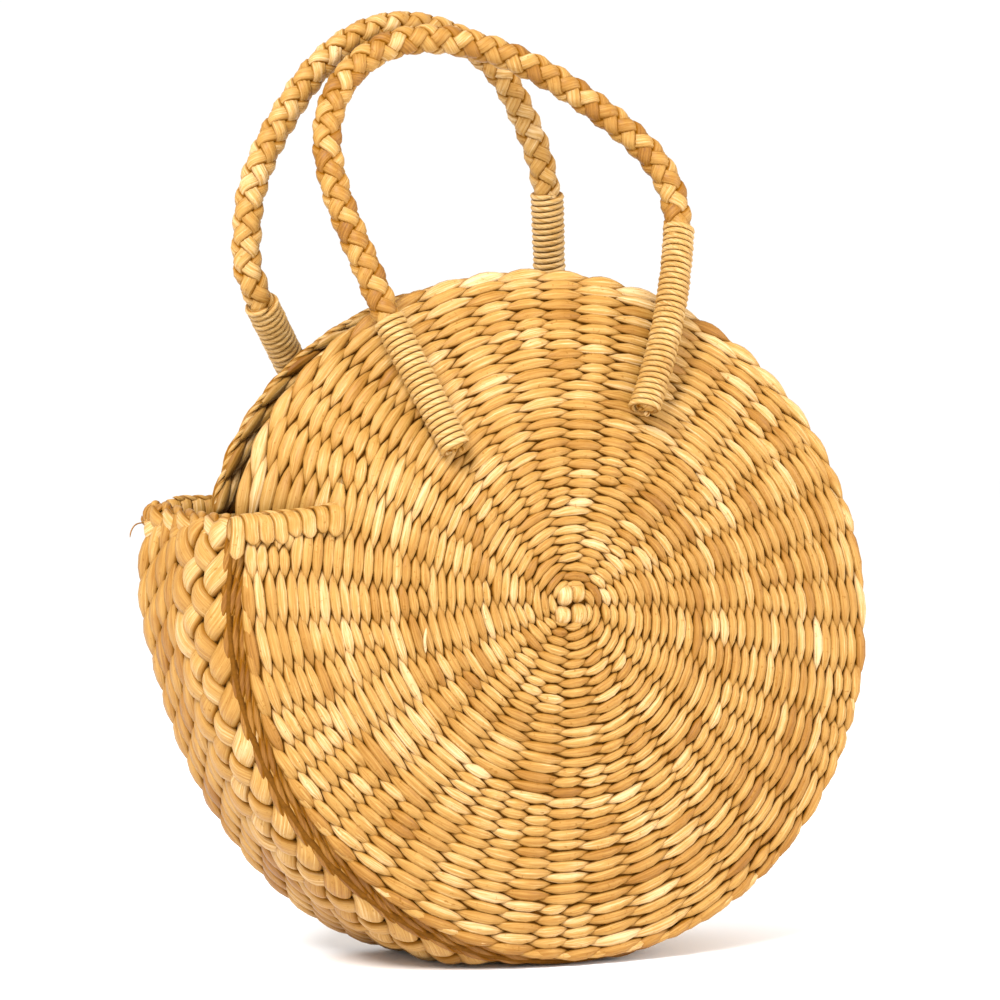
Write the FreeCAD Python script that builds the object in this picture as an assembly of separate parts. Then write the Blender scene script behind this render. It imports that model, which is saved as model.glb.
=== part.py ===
import FreeCAD, Part
import math
import os

Vector = FreeCAD.Vector

# Frame: millimetres, X to the right, Y from the front panel to the back panel, Z up.
# The origin is on the floor, under the middle of the bag.

# Woven panels: a domed disc on each side, a little out of round
disc_radius = 187.0
disc_out_of_round = 5.0
disc_long_axis_angle = -52.0
panel_thickness = 7.0
panel_dome = 14.0
bag_depth = 100.0
front_panel_shift = 7.0
back_panel_shift = -3.0

# Gusset between the panels, with a wide flat braid along the front seam
gusset_thickness = 8.0
gusset_lean = -8.0
gusset_drop = 3.0
gusset_margin = 4.0
braid_width = 62.0
braid_thickness = 6.0
foot_flat_depth = 3.4

# Mouth: this far above the discs' middle the panels are free of the gusset, lean inwards
# and are drawn in a little at the slit
mouth_rise = 58.3
slit_length = 52.0
mouth_lean = 42.0
mouth_lean_angle = 33.0
front_mouth_draw = 1.0
back_mouth_draw = 10.5
border_diameter = 8.0
hem_height = 12.0
hem_thickness = 8.0
hem_rounding = 3.0
hem_inset = 1.0

# Handles: a braided rope loop, its ends sewn on the panel under a winding of cord
rope_diameter = 17.0
rope_end_diameter = 10.0
rope_taper = 8.0
neck_diameter = 7.2
neck_drop = 5.0
wrap_foot_diameter = 16.6
wrap_top_diameter = 17.0
wrap_turns = 24
turn_gap = 0.5

# Clearances between neighbours
seat_gap = 0.3
fold_gap = 0.4
cord_gap = 0.2

# Handle ends: angle round the disc and share of its radius, of the foot and then of the top
FRONT_ENDS = {"left": (130.5, 0.577, 122.6, 0.963), "right": (70.7, 0.610, 70.6, 1.209)}
BACK_ENDS = {"left": (131.4, 0.762, 130.6, 1.129), "right": (66.7, 0.753, 81.5, 1.258)}

# Handle loops: angle round the disc, share of its radius and slope of the rope at each point
FRONT_LOOP = [(117.0, 1.447, 90.0), (101.7, 1.658, 2.0), (84.1, 1.486, -35.0)]
BACK_LOOP = [(125.9, 1.341, 89.0), (114.3, 1.578, 57.0), (100.0, 1.702, 0.0), (88.0, 1.522, -58.0)]
loop_top_gap = 3.0

# Sampling of the curved pieces
PANEL_SECTIONS = 13
SECTION_POINTS = 6
BORDER_STATIONS = 9
CLEARANCE_SAMPLES = 12
CORD_SAMPLES = 16

disc_long_radius = disc_radius + disc_out_of_round
disc_short_radius = disc_radius - disc_out_of_round
outside = 4 * disc_radius
half_depth = bag_depth / 2
half_panel = panel_thickness / 2
gusset_half_width = half_depth - half_panel - seat_gap
rope_radius = rope_diameter / 2
wrap_radius = wrap_top_diameter / 2


def edge_radius(angle, grow=0.0):
    """Radius of the disc's outline, grown by a margin, at an angle in degrees from +X."""
    turn = math.radians(angle - disc_long_axis_angle)
    long_radius = disc_long_radius + grow
    short_radius = disc_short_radius + grow
    across = math.hypot(short_radius * math.cos(turn), long_radius * math.sin(turn))
    return long_radius * short_radius / across


def lowest_reach(grow):
    """Depth of the outline's lowest point below its middle."""
    turn = math.radians(disc_long_axis_angle)
    long_reach = (disc_long_radius + grow) * math.sin(turn)
    return math.hypot(long_reach, (disc_short_radius + grow) * math.cos(turn))


gusset_centre_height = lowest_reach(gusset_margin) - foot_flat_depth
disc_centre_height = gusset_centre_height + gusset_drop
mouth_height = disc_centre_height + mouth_rise
upper_edge = mouth_height + fold_gap


def outline_crossings(level, along_x, grow=0.0):
    """Both crossings of the outline by the line at X = level (or Z = level), from its middle."""
    turn = math.radians(disc_long_axis_angle)
    cosine = math.cos(turn)
    sine = math.sin(turn)
    long_term = 1 / (disc_long_radius + grow) ** 2
    short_term = 1 / (disc_short_radius + grow) ** 2
    x_term = cosine * cosine * long_term + sine * sine * short_term
    z_term = sine * sine * long_term + cosine * cosine * short_term
    cross_term = cosine * sine * (long_term - short_term) * level
    fixed, free = (x_term, z_term) if along_x else (z_term, x_term)
    root = math.sqrt(max(cross_term ** 2 - free * (fixed * level * level - 1), 0))
    return (-cross_term - root) / free, (-cross_term + root) / free


def gusset_shift(y):
    """Sideways shift of the gusset's middle at a depth, because the soft bag stands askew."""
    return gusset_lean * (y + gusset_half_width) / (2 * gusset_half_width)


def ellipse_wire(y, grow):
    turn = math.radians(disc_long_axis_angle)
    centre = Vector(gusset_shift(y), y, gusset_centre_height)
    long_end = centre + Vector(math.cos(turn), 0, math.sin(turn)) * (disc_long_radius + grow)
    short_end = centre + Vector(-math.sin(turn), 0, math.cos(turn)) * (disc_short_radius + grow)
    return Part.Wire(Part.Ellipse(long_end, short_end, centre).toShape())


def gusset_prism(grow, y_front, y_back):
    return Part.makeLoft([ellipse_wire(y_front, grow), ellipse_wire(y_back, grow)], True, True)


def slab(z_low, z_high, x_high=outside):
    """Block across the whole bag, left of an X, between two heights."""
    corner = Vector(-outside, -outside, z_low)
    return Part.makeBox(x_high + outside, 2 * outside, z_high - z_low, corner)


def gusset_band(outer_grow, inner_grow, y_front, y_back):
    """Part of the gusset ring below the hems, flat where it stands on the floor."""
    ring = gusset_prism(outer_grow, y_front, y_back).cut(gusset_prism(inner_grow, y_front, y_back))
    return ring.common(slab(0.0, mouth_height - hem_height))


def strip_outer():
    return gusset_margin - braid_thickness - seat_gap


def make_gusset_strip():
    inner = strip_outer() - gusset_thickness
    braid_end = -gusset_half_width + braid_width + seat_gap
    strip = gusset_band(strip_outer(), inner, -gusset_half_width, gusset_half_width)
    rows = gusset_band(gusset_margin, inner, braid_end, gusset_half_width)
    return strip.fuse(rows).removeSplitter()


def make_gusset_braid():
    back_end = -gusset_half_width + braid_width
    return gusset_band(gusset_margin, gusset_margin - braid_thickness, -gusset_half_width, back_end)


def rounded_bar(start, end, thickness, z_low, z_high):
    """Level bar between two points, with its long edges rounded."""
    run = Vector(end.x - start.x, end.y - start.y, 0)
    bar = Part.makeBox(run.Length, thickness, z_high - z_low, Vector(0, -thickness / 2, 0))
    long_edges = [edge for edge in bar.Edges if abs(edge.Length - run.Length) < 1e-6]
    bar = bar.makeFillet(hem_rounding, long_edges)
    turn = FreeCAD.Rotation(Vector(0, 0, 1), math.degrees(math.atan2(run.y, run.x)))
    bar.Placement = FreeCAD.Placement(Vector(start.x, start.y, z_low), turn)
    return bar


def make_gusset_hem(side):
    """Folded end of the gusset at the mouth: side 0 is the left end and side 1 the right end."""
    level = mouth_height - hem_height / 2 - gusset_centre_height
    outer = outline_crossings(level, False, gusset_margin)[side]
    inner = outline_crossings(level, False, strip_outer() - gusset_thickness)[side]
    middle = (outer + inner) / 2
    reach = gusset_half_width - hem_inset
    start = Vector(middle + gusset_shift(-reach), -reach, 0)
    end = Vector(middle + gusset_shift(reach), reach, 0)
    z_low = mouth_height - hem_height + seat_gap
    return rounded_bar(start, end, abs(outer - inner), z_low, mouth_height)


class Panel:
    """One side of the bag: facing is -1 for the front panel and 1 for the back panel."""

    def __init__(self, facing, shift, draw, ends, loop):
        self.facing = facing
        self.shift = shift
        self.draw = draw
        self.ends = ends
        self.loop = loop
        left_edge = outline_crossings(mouth_height - disc_centre_height, False)[0]
        self.slit_tip = shift + left_edge + slit_length

    def dome(self, x, z):
        across = x - self.shift
        up = z - disc_centre_height
        edge = edge_radius(math.degrees(math.atan2(up, across)))
        return panel_dome * (1 - (math.hypot(across, up) / edge) ** 2)

    def lean(self, x, z):
        """Inward lean above the mouth line, growing along parabolas round the tip of the slit."""
        across = x - self.slit_tip
        up = max(z - mouth_height, 0.0)
        reach = math.hypot(across, up) - across
        return mouth_lean * math.tanh(math.tan(math.radians(mouth_lean_angle)) * reach / mouth_lean)

    def middle_y(self, x, z):
        lean = self.lean(x, z) if z > mouth_height else 0.0
        return self.facing * (half_depth + self.dome(x, z) - lean)

    def outer_y(self, x, z):
        return self.middle_y(x, z) + self.facing * half_panel

    def whole_disc(self):
        """Domed disc, turned as a round cap and then drawn out of round."""
        radius = disc_radius
        middle = radius / 2
        rise = panel_dome * 3 / 4
        outer = half_panel
        inner = -half_panel
        outer_arc = Part.Arc(
            Vector(0, outer + panel_dome, 0), Vector(middle, outer + rise, 0), Vector(radius, outer, 0)
        )
        inner_arc = Part.Arc(
            Vector(radius, inner, 0), Vector(middle, inner + rise, 0), Vector(0, inner + panel_dome, 0)
        )
        rim = Part.LineSegment(Vector(radius, outer, 0), Vector(radius, inner, 0))
        axis = Part.LineSegment(Vector(0, inner + panel_dome, 0), Vector(0, outer + panel_dome, 0))
        edges = [curve.toShape() for curve in (outer_arc, rim, inner_arc, axis)]
        cap = Part.Face(Part.Wire(edges)).revolve(Vector(0, 0, 0), Vector(0, 1, 0), 360)
        turn = math.radians(disc_long_axis_angle)
        cosine = math.cos(turn)
        sine = math.sin(turn)
        long_scale = disc_long_radius / radius
        short_scale = disc_short_radius / radius
        shape_xx = long_scale * cosine ** 2 + short_scale * sine ** 2
        shape_xz = (long_scale - short_scale) * cosine * sine
        shape_zz = long_scale * sine ** 2 + short_scale * cosine ** 2
        stretch = FreeCAD.Matrix(
            shape_xx, 0, shape_xz, 0, 0, self.facing, 0, 0, shape_xz, 0, shape_zz, 0, 0, 0, 0, 1
        )
        disc = cap.transformGeometry(stretch)
        disc.translate(Vector(self.shift, self.facing * half_depth, disc_centre_height))
        return disc

    def make_lower(self):
        disc = self.whole_disc().common(slab(-outside, mouth_height))
        return disc.cut(slab(mouth_height - hem_height, outside, self.slit_tip))

    def make_slit_hem(self):
        """Bound lower lip of the slit, from the panel's left edge to the slit's tip."""
        level = mouth_height - hem_height / 2
        left = self.shift + outline_crossings(level - disc_centre_height, False)[0]
        right = self.slit_tip - hem_inset
        start = Vector(left, self.middle_y(left, level), 0)
        end = Vector(right, self.middle_y(right, level), 0)
        z_low = mouth_height - hem_height + seat_gap
        return rounded_bar(start, end, hem_thickness, z_low, mouth_height)

    def drawn_in(self, across):
        """X of a point of the free upper panel, which is drawn in from the slit towards the right."""
        return self.shift + across + self.draw * (disc_radius - across) / (2 * disc_radius)

    def upper_section(self, x, z_top):
        outer = []
        inner = []
        for index in range(SECTION_POINTS):
            z = upper_edge + (z_top - upper_edge) * index / (SECTION_POINTS - 1)
            y = self.middle_y(x, z)
            outer.append(Vector(x, y + self.facing * half_panel, z))
            inner.append(Vector(x, y - self.facing * half_panel, z))
        inner.reverse()
        outer_curve = Part.BSplineCurve()
        outer_curve.interpolate(outer)
        inner_curve = Part.BSplineCurve()
        inner_curve.interpolate(inner)
        top = Part.LineSegment(outer[-1], inner[0])
        bottom = Part.LineSegment(inner[-1], outer[0])
        return Part.Wire([curve.toShape() for curve in (outer_curve, top, inner_curve, bottom)])

    def make_upper(self):
        """Free upper part of the panel, inside its border rope."""
        grow = -border_diameter - seat_gap
        end_level = upper_edge + border_diameter - disc_centre_height
        left, right = outline_crossings(end_level, False, grow)
        wires = []
        for index in range(PANEL_SECTIONS):
            share = (1 - math.cos(math.pi * index / (PANEL_SECTIONS - 1))) / 2
            across = left + (right - left) * share
            z_top = disc_centre_height + outline_crossings(across, True, grow)[1]
            wires.append(self.upper_section(self.drawn_in(across), z_top))
        return Part.makeLoft(wires, True, False)

    def border_point(self, angle):
        radius = edge_radius(angle, -border_diameter / 2)
        x = self.drawn_in(radius * math.cos(math.radians(angle)))
        z = disc_centre_height + radius * math.sin(math.radians(angle))
        return Vector(x, self.middle_y(x, z), z)

    def make_border(self):
        """Rope-like edge of the upper panel, from one end of the mouth to the other."""
        level = upper_edge + border_diameter / 2 - disc_centre_height
        left, right = outline_crossings(level, False, -border_diameter / 2)
        first = math.degrees(math.atan2(level, right))
        last = math.degrees(math.atan2(level, left))
        step = (last - first) / (BORDER_STATIONS - 1)
        stations = []
        for index in range(BORDER_STATIONS):
            angle = first + step * index
            ahead = self.border_point(angle + 0.05)
            behind = self.border_point(angle - 0.05)
            stations.append((self.border_point(angle), (ahead - behind).normalize()))
        return round_tube(stations, border_diameter / 2)

    def disc_point(self, angle, share):
        """X and Z of a point at an angle round the disc and a share of its radius there."""
        radius = share * edge_radius(angle)
        x = self.shift + radius * math.cos(math.radians(angle))
        return x, disc_centre_height + radius * math.sin(math.radians(angle))

    def end_line(self, side):
        """Foot, direction, outward side and length of a handle end on the panel's outer face."""
        foot_angle, foot_share, top_angle, top_share = self.ends[side]
        foot_x, foot_z = self.disc_point(foot_angle, foot_share)
        top_x, top_z = self.disc_point(top_angle, top_share)
        foot_y = self.outer_y(foot_x, foot_z)
        on_panel = min(1, (1 - foot_share) / (top_share - foot_share))
        slopes = []
        for index in range(1, CLEARANCE_SAMPLES + 1):
            share = on_panel * index / CLEARANCE_SAMPLES
            y = self.outer_y(foot_x + (top_x - foot_x) * share, foot_z + (top_z - foot_z) * share)
            slopes.append(self.facing * (y - foot_y) / share)
        run = Vector(top_x - foot_x, self.facing * max(slopes), top_z - foot_z)
        direction = Vector(run).normalize()
        outward = Vector(0, self.facing, 0)
        outward = (outward - direction * outward.dot(direction)).normalize()
        foot = Vector(foot_x, foot_y, foot_z) + outward * (wrap_radius + seat_gap)
        return foot, direction, outward, run.Length

    def hinge_point(self, side):
        foot, direction, outward, length = self.end_line(side)
        return foot + direction * length

    def cord_diameter(self, side):
        """Cord that fills the length of the end with its turns, a small gap apart."""
        return self.wrap_pitch(side) - turn_gap

    def wrap_pitch(self, side):
        length = self.end_line(side)[3]
        return (length - neck_drop + turn_gap) / (wrap_turns + 1)

    def core_radius(self, side, share):
        """Radius of the sewn end inside the winding, at a share of its length from the foot."""
        outside = wrap_foot_diameter + (wrap_top_diameter - wrap_foot_diameter) * share
        return outside / 2 - self.cord_diameter(side) - cord_gap

    def make_handle_end(self, side):
        """Sewn end of the rope: a tapered core with a bare rounded neck at the top."""
        foot, direction, outward, length = self.end_line(side)
        shoulder = length - neck_drop
        neck = neck_diameter / 2
        points = [
            Vector(0, 0, 0),
            Vector(self.core_radius(side, 0), 0, 0),
            Vector(self.core_radius(side, 1), 0, shoulder),
            Vector(neck, 0, shoulder),
            Vector(neck, 0, length),
        ]
        top = Vector(0, 0, length + neck)
        diagonal = neck * math.sqrt(0.5)
        dome = Part.Arc(points[-1], Vector(diagonal, 0, length + diagonal), top).toShape()
        edges = [Part.LineSegment(a, b).toShape() for a, b in zip(points, points[1:])]
        axis = Part.LineSegment(top, points[0]).toShape()
        core = Part.Face(Part.Wire(edges + [dome, axis])).revolve(Vector(0, 0, 0), Vector(0, 0, 1), 360)
        core.Placement = FreeCAD.Placement(foot, FreeCAD.Rotation(Vector(0, 0, 1), direction))
        return core

    def wrap_stations(self, side):
        """Points and directions of the winding, two to a turn, starting on the panel's side."""
        foot, direction, outward, length = self.end_line(side)
        sideways = direction.cross(outward)
        cord_radius = self.cord_diameter(side) / 2
        pitch = self.wrap_pitch(side)
        stations = []
        for index in range(2 * wrap_turns + 1):
            turn = math.pi * index
            along = cord_radius + pitch * index / 2
            radius = self.core_radius(side, along / (length - neck_drop)) + cord_gap + cord_radius
            spoke = outward * -math.cos(turn) + sideways * -math.sin(turn)
            round_way = outward * math.sin(turn) + sideways * -math.cos(turn)
            heading = (round_way * (2 * math.pi * radius) + direction * pitch).normalize()
            stations.append((foot + direction * along + spoke * radius, heading))
        return stations

    def make_wrap(self, side):
        stations = self.wrap_stations(side)
        diameter = self.cord_diameter(side)
        start, heading = stations[0]
        stations.insert(0, (start - heading * diameter, heading))
        end, heading = stations[-1]
        stations.append((end + heading * diameter, heading))
        return round_tube(stations, diameter / 2)

    def handle_stations(self):
        """Points and directions of the rope loop, in the leaning plane of its two ends and its top."""
        left = self.hinge_point("left")
        right = self.hinge_point("right")
        corners = []
        for angle, share, slope in self.loop:
            corners.append(self.disc_point(angle, share) + (slope,))
        top_x, top_z, _ = max(corners, key=lambda corner: corner[1])
        top = Vector(top_x, self.facing * (rope_radius + loop_top_gap / 2), top_z)
        normal = (right - left).cross(top - left)
        lead = neck_diameter / 2 + seat_gap + rope_taper

        def in_plane(x, z, origin_y):
            return origin_y - (normal.x * x + normal.z * z) / normal.y

        points = []
        for x, z, slope in corners:
            way_x = math.cos(math.radians(slope))
            way_z = math.sin(math.radians(slope))
            y = in_plane(x - left.x, z - left.z, left.y)
            points.append((Vector(x, y, z), Vector(way_x, in_plane(way_x, way_z, 0.0), way_z).normalize()))
        first = self.loop_lead(left, points[0][0], "left", normal)
        last = self.loop_lead(right, points[-1][0], "right", normal)
        points.insert(0, (left + first * lead, first))
        points.append((right + last * lead, last * -1))
        return points

    def loop_lead(self, hinge, next_point, side, normal):
        """Direction in which the rope leaves its end: between the end's own line and the loop."""
        direction = self.end_line(side)[1]
        way = direction + (next_point - hinge).normalize()
        unit = Vector(normal).normalize()
        return (way - unit * way.dot(unit)).normalize()

    def make_handle(self):
        stations = self.handle_stations()
        rope = round_tube(stations, rope_radius)
        first, first_way = stations[0]
        last, last_way = stations[-1]
        for place, way in ((first, first_way * -1), (last, last_way)):
            rope = rope.fuse(Part.makeCone(rope_radius, rope_end_diameter / 2, rope_taper, place, way))
        return rope


def biarc(start, start_way, end, end_way):
    """Two arcs that leave one point and reach another in the given directions."""
    chord = end - start
    spread = 1 - start_way.dot(end_way)
    if spread < 1e-9:
        return [Part.LineSegment(start, end).toShape()]
    along = chord.dot(start_way + end_way)
    arm = (math.sqrt(along ** 2 + 2 * spread * chord.dot(chord)) - along) / (2 * spread)
    joint = (start + end + (start_way - end_way) * arm) * 0.5
    corners = (start + start_way * arm, end - end_way * arm)
    return [round_corner(start, corners[0], joint), round_corner(joint, corners[1], end)]


def round_corner(start, corner, end):
    """Arc from start to end whose tangents meet at the corner."""
    middle = (start + end) * 0.5
    height = (corner - middle).Length
    half_chord = (end - start).Length / 2
    if height < 1e-6:
        return Part.LineSegment(start, end).toShape()
    arm = (corner - start).Length
    crown = middle + (corner - middle) * (half_chord * (arm - half_chord) / height ** 2)
    return Part.Arc(start, crown, end).toShape()


def round_tube(stations, radius):
    """Round tube along a chain of biarcs through points with given directions."""
    edges = []
    for (start, start_way), (end, end_way) in zip(stations, stations[1:]):
        edges.extend(biarc(start, start_way, end, end_way))
    start, way = stations[0]
    profile = Part.Wire(Part.makeCircle(radius, start, way))
    return Part.Wire(edges).makePipeShell([profile], True, False)


def least_winding_gap(panel, side):
    """Least gap between neighbouring turns, measured on points of the winding's middle line."""
    stations = panel.wrap_stations(side)
    turns = []
    for (start, start_way), (end, end_way) in zip(stations, stations[1:]):
        for edge in biarc(start, start_way, end, end_way):
            turns.extend(edge.discretize(CORD_SAMPLES)[:-1])
    per_turn = 4 * (CORD_SAMPLES - 1)
    gaps = []
    for index in range(len(turns) - per_turn):
        near = turns[index + per_turn - CORD_SAMPLES:index + per_turn + CORD_SAMPLES]
        gaps.append(min((turns[index] - point).Length for point in near))
    return min(gaps) - panel.cord_diameter(side)


def main():
    os.makedirs("parts", exist_ok=True)
    front = Panel(-1, front_panel_shift, front_mouth_draw, FRONT_ENDS, FRONT_LOOP)
    back = Panel(1, back_panel_shift, back_mouth_draw, BACK_ENDS, BACK_LOOP)
    solids = {
        "gusset_strip": make_gusset_strip(),
        "gusset_braid": make_gusset_braid(),
        "gusset_hem_left": make_gusset_hem(0),
        "gusset_hem_right": make_gusset_hem(1),
    }
    for name, panel in (("front", front), ("back", back)):
        solids[name + "_panel_lower"] = panel.make_lower()
        solids[name + "_panel_upper"] = panel.make_upper()
        solids[name + "_slit_hem"] = panel.make_slit_hem()
        solids[name + "_mouth_border"] = panel.make_border()
        solids[name + "_handle"] = panel.make_handle()
        for side in ("left", "right"):
            solids[name + "_" + side + "_handle_end"] = panel.make_handle_end(side)
            solids[name + "_" + side + "_handle_wrap"] = panel.make_wrap(side)
            print(name, side, "winding, least gap to itself: %.2f mm" % least_winding_gap(panel, side))
            print(name, side, "hinge point:", panel.hinge_point(side))
    for node, solid in solids.items():
        print(node, "valid" if solid.isValid() else "NOT VALID", "%.0f mm3" % solid.Volume, solid.BoundBox)
        solid.exportStep("parts/" + node + ".step")


main()
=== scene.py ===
"""Round straw bag: twined panels, a plaited gusset, and braided handles held by wound cord."""

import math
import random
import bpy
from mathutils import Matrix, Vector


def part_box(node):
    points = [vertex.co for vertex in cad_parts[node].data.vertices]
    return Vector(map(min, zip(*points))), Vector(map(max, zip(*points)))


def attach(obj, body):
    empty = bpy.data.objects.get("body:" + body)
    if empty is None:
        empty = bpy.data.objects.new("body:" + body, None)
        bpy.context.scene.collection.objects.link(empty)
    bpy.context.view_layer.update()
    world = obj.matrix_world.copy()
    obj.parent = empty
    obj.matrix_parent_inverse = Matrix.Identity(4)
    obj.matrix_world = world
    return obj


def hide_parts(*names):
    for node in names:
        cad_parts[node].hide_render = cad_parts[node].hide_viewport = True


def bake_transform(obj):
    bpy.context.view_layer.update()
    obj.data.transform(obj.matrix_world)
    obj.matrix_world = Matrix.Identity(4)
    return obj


bl_info = {
    "name": "Twined circle bag",
    "version": (1, 0, 0),
    "blender": (4, 5, 0),
    "location": "View3D > Sidebar > Circle Bag",
    "description": "Dresses the frame of a round straw bag with its weave, braids and windings",
    "category": "Add Mesh",
}

import bmesh
import bpy
from bpy.props import FloatProperty, FloatVectorProperty, IntProperty, PointerProperty
from mathutils import Vector
from mathutils.geometry import interpolate_bezier

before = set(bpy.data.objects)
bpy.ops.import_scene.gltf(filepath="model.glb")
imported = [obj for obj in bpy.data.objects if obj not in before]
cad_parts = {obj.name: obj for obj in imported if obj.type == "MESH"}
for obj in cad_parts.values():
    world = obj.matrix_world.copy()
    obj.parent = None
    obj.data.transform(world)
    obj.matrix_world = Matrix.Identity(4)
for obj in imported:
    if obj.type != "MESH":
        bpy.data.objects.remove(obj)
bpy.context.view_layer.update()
RIGHT = Vector((1, 0, 0))
BACK = Vector((0, 1, 0))
UP = Vector((0, 0, 1))
SIDES = ("front", "back")
HANDS = ("left", "right")
FACING = {"front": -1.0, "back": 1.0}

# Sewn handle ends: angle round the disc in degrees and share of its radius, of the foot and then the top
ENDS = {
    "front": {"left": (130.5, 0.577, 122.6, 0.963), "right": (70.7, 0.610, 70.6, 1.209)},
    "back": {"left": (131.4, 0.762, 130.6, 1.129), "right": (66.7, 0.753, 81.5, 1.258)},
}

# Rope loops: angle round the disc in degrees, share of its radius and slope of the rope in degrees
LOOPS = {
    "front": ((117.0, 1.447, 90.0), (101.7, 1.658, 2.0), (84.1, 1.486, -35.0)),
    "back": ((125.9, 1.341, 89.0), (114.3, 1.578, 57.0), (100.0, 1.702, 0.0), (88.0, 1.522, -58.0)),
}

# The four stitches of the spiral's eye: place across and up, half width and half height
EYE = (
    (-0.0038, 0.0052, 0.0046, 0.0064),
    (0.0040, 0.0062, 0.0040, 0.0056),
    (-0.0050, -0.0056, 0.0048, 0.0054),
    (0.0046, -0.0052, 0.0048, 0.0064),
)

# Sideways bow of each sewn end between its foot and its top
BOWS = {"front": {"left": 0.0, "right": 0.0045}, "back": {"left": 0.0, "right": 0.0}}

# How far the ribbons of each slit start beyond its hem, and how much sooner than the hem the slit ends
LIP_OVERHANG = {"front": 0.0110, "back": 0.0}
SLIT_CUT = {"front": 0.0055, "back": -0.0005}

# Stitches that close the rim of a panel, along its free edge and along the gusset
RIM_STITCHES = {
    "free": {
        "run": 0.0225,
        "inset": 0.0042,
        "tilt": 0.0019,
        "half_width": 0.0040,
        "lift": 0.0014,
        "depth": 0.0030,
    },
    "sewn": {
        "run": 0.0190,
        "inset": 0.0026,
        "tilt": 0.0012,
        "half_width": 0.0027,
        "lift": 0.0006,
        "depth": 0.0034,
    },
}

# Stitches of the gusset's outer and inner rows
GUSSET_STITCHES = {
    "outer": {"face": 1.0, "run": 0.0195, "half_width": 0.0066},
    "inner": {"face": -1.0, "run": 0.0250, "half_width": 0.0082},
}

# Depth of each outer row of the gusset, from the braid to the back seam, and of the inner rows
OUTER_ROWS = (-0.0010, 0.0090, 0.0190, 0.0290, 0.0388)
INNER_START = -0.0385
INNER_PITCH = 0.0154
INNER_COUNT = 6

# Height of the gusset's rows over its outline: the first outer row is tucked under the braid
OUTER_ROW = 0.0012
TUCKED_ROW = -0.0010
INNER_ROW = -0.0088

# Twisted cords: distance of the strands from the middle line, half width and half thickness of a strand,
# length of one turn, and a shade for each strand
CORDS = {
    "edge": (0.0009, 0.0014, 0.0011, 0.016, (0.70, 0.58)),
    "lip": (0.0011, 0.0015, 0.0012, 0.016, (0.5, 0.6)),
    # The seam's strands take the darkest shades, which darken the groove between the gusset and the panels
    "seam": (0.0013, 0.0021, 0.0016, 0.042, (0.06, 0.24)),
    "hem": (0.0022, 0.0029, 0.0025, 0.026, (0.2, 0.35)),
}

# Loose straw on the front panel: place across and up, and height over the sheet
LOOSE_STRAW = ((-0.0818, 0.172, 0.0036), (-0.0835, 0.179, 0.0068), (-0.0830, 0.186, 0.0075))

# The photograph's camera
CAMERA_PLACE = (-0.72254, -1.5389, 0.2722)
CAMERA_AIM = (-0.00874, 0.0018, 0.2509)
CAMERA_LENS = 110.95


def length(name, description, default):
    """Setting for a length in metres."""
    return FloatProperty(name=name, description=description, default=default, unit="LENGTH", precision=5)


def angle(name, description, degrees):
    """Setting for an angle, given in degrees."""
    return FloatProperty(name=name, description=description, default=math.radians(degrees), subtype="ANGLE")


def colour(name, description, default):
    """Setting for a colour."""
    return FloatVectorProperty(
        name=name, description=description, default=default, subtype="COLOR", size=3, min=0.0, max=1.0
    )


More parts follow.
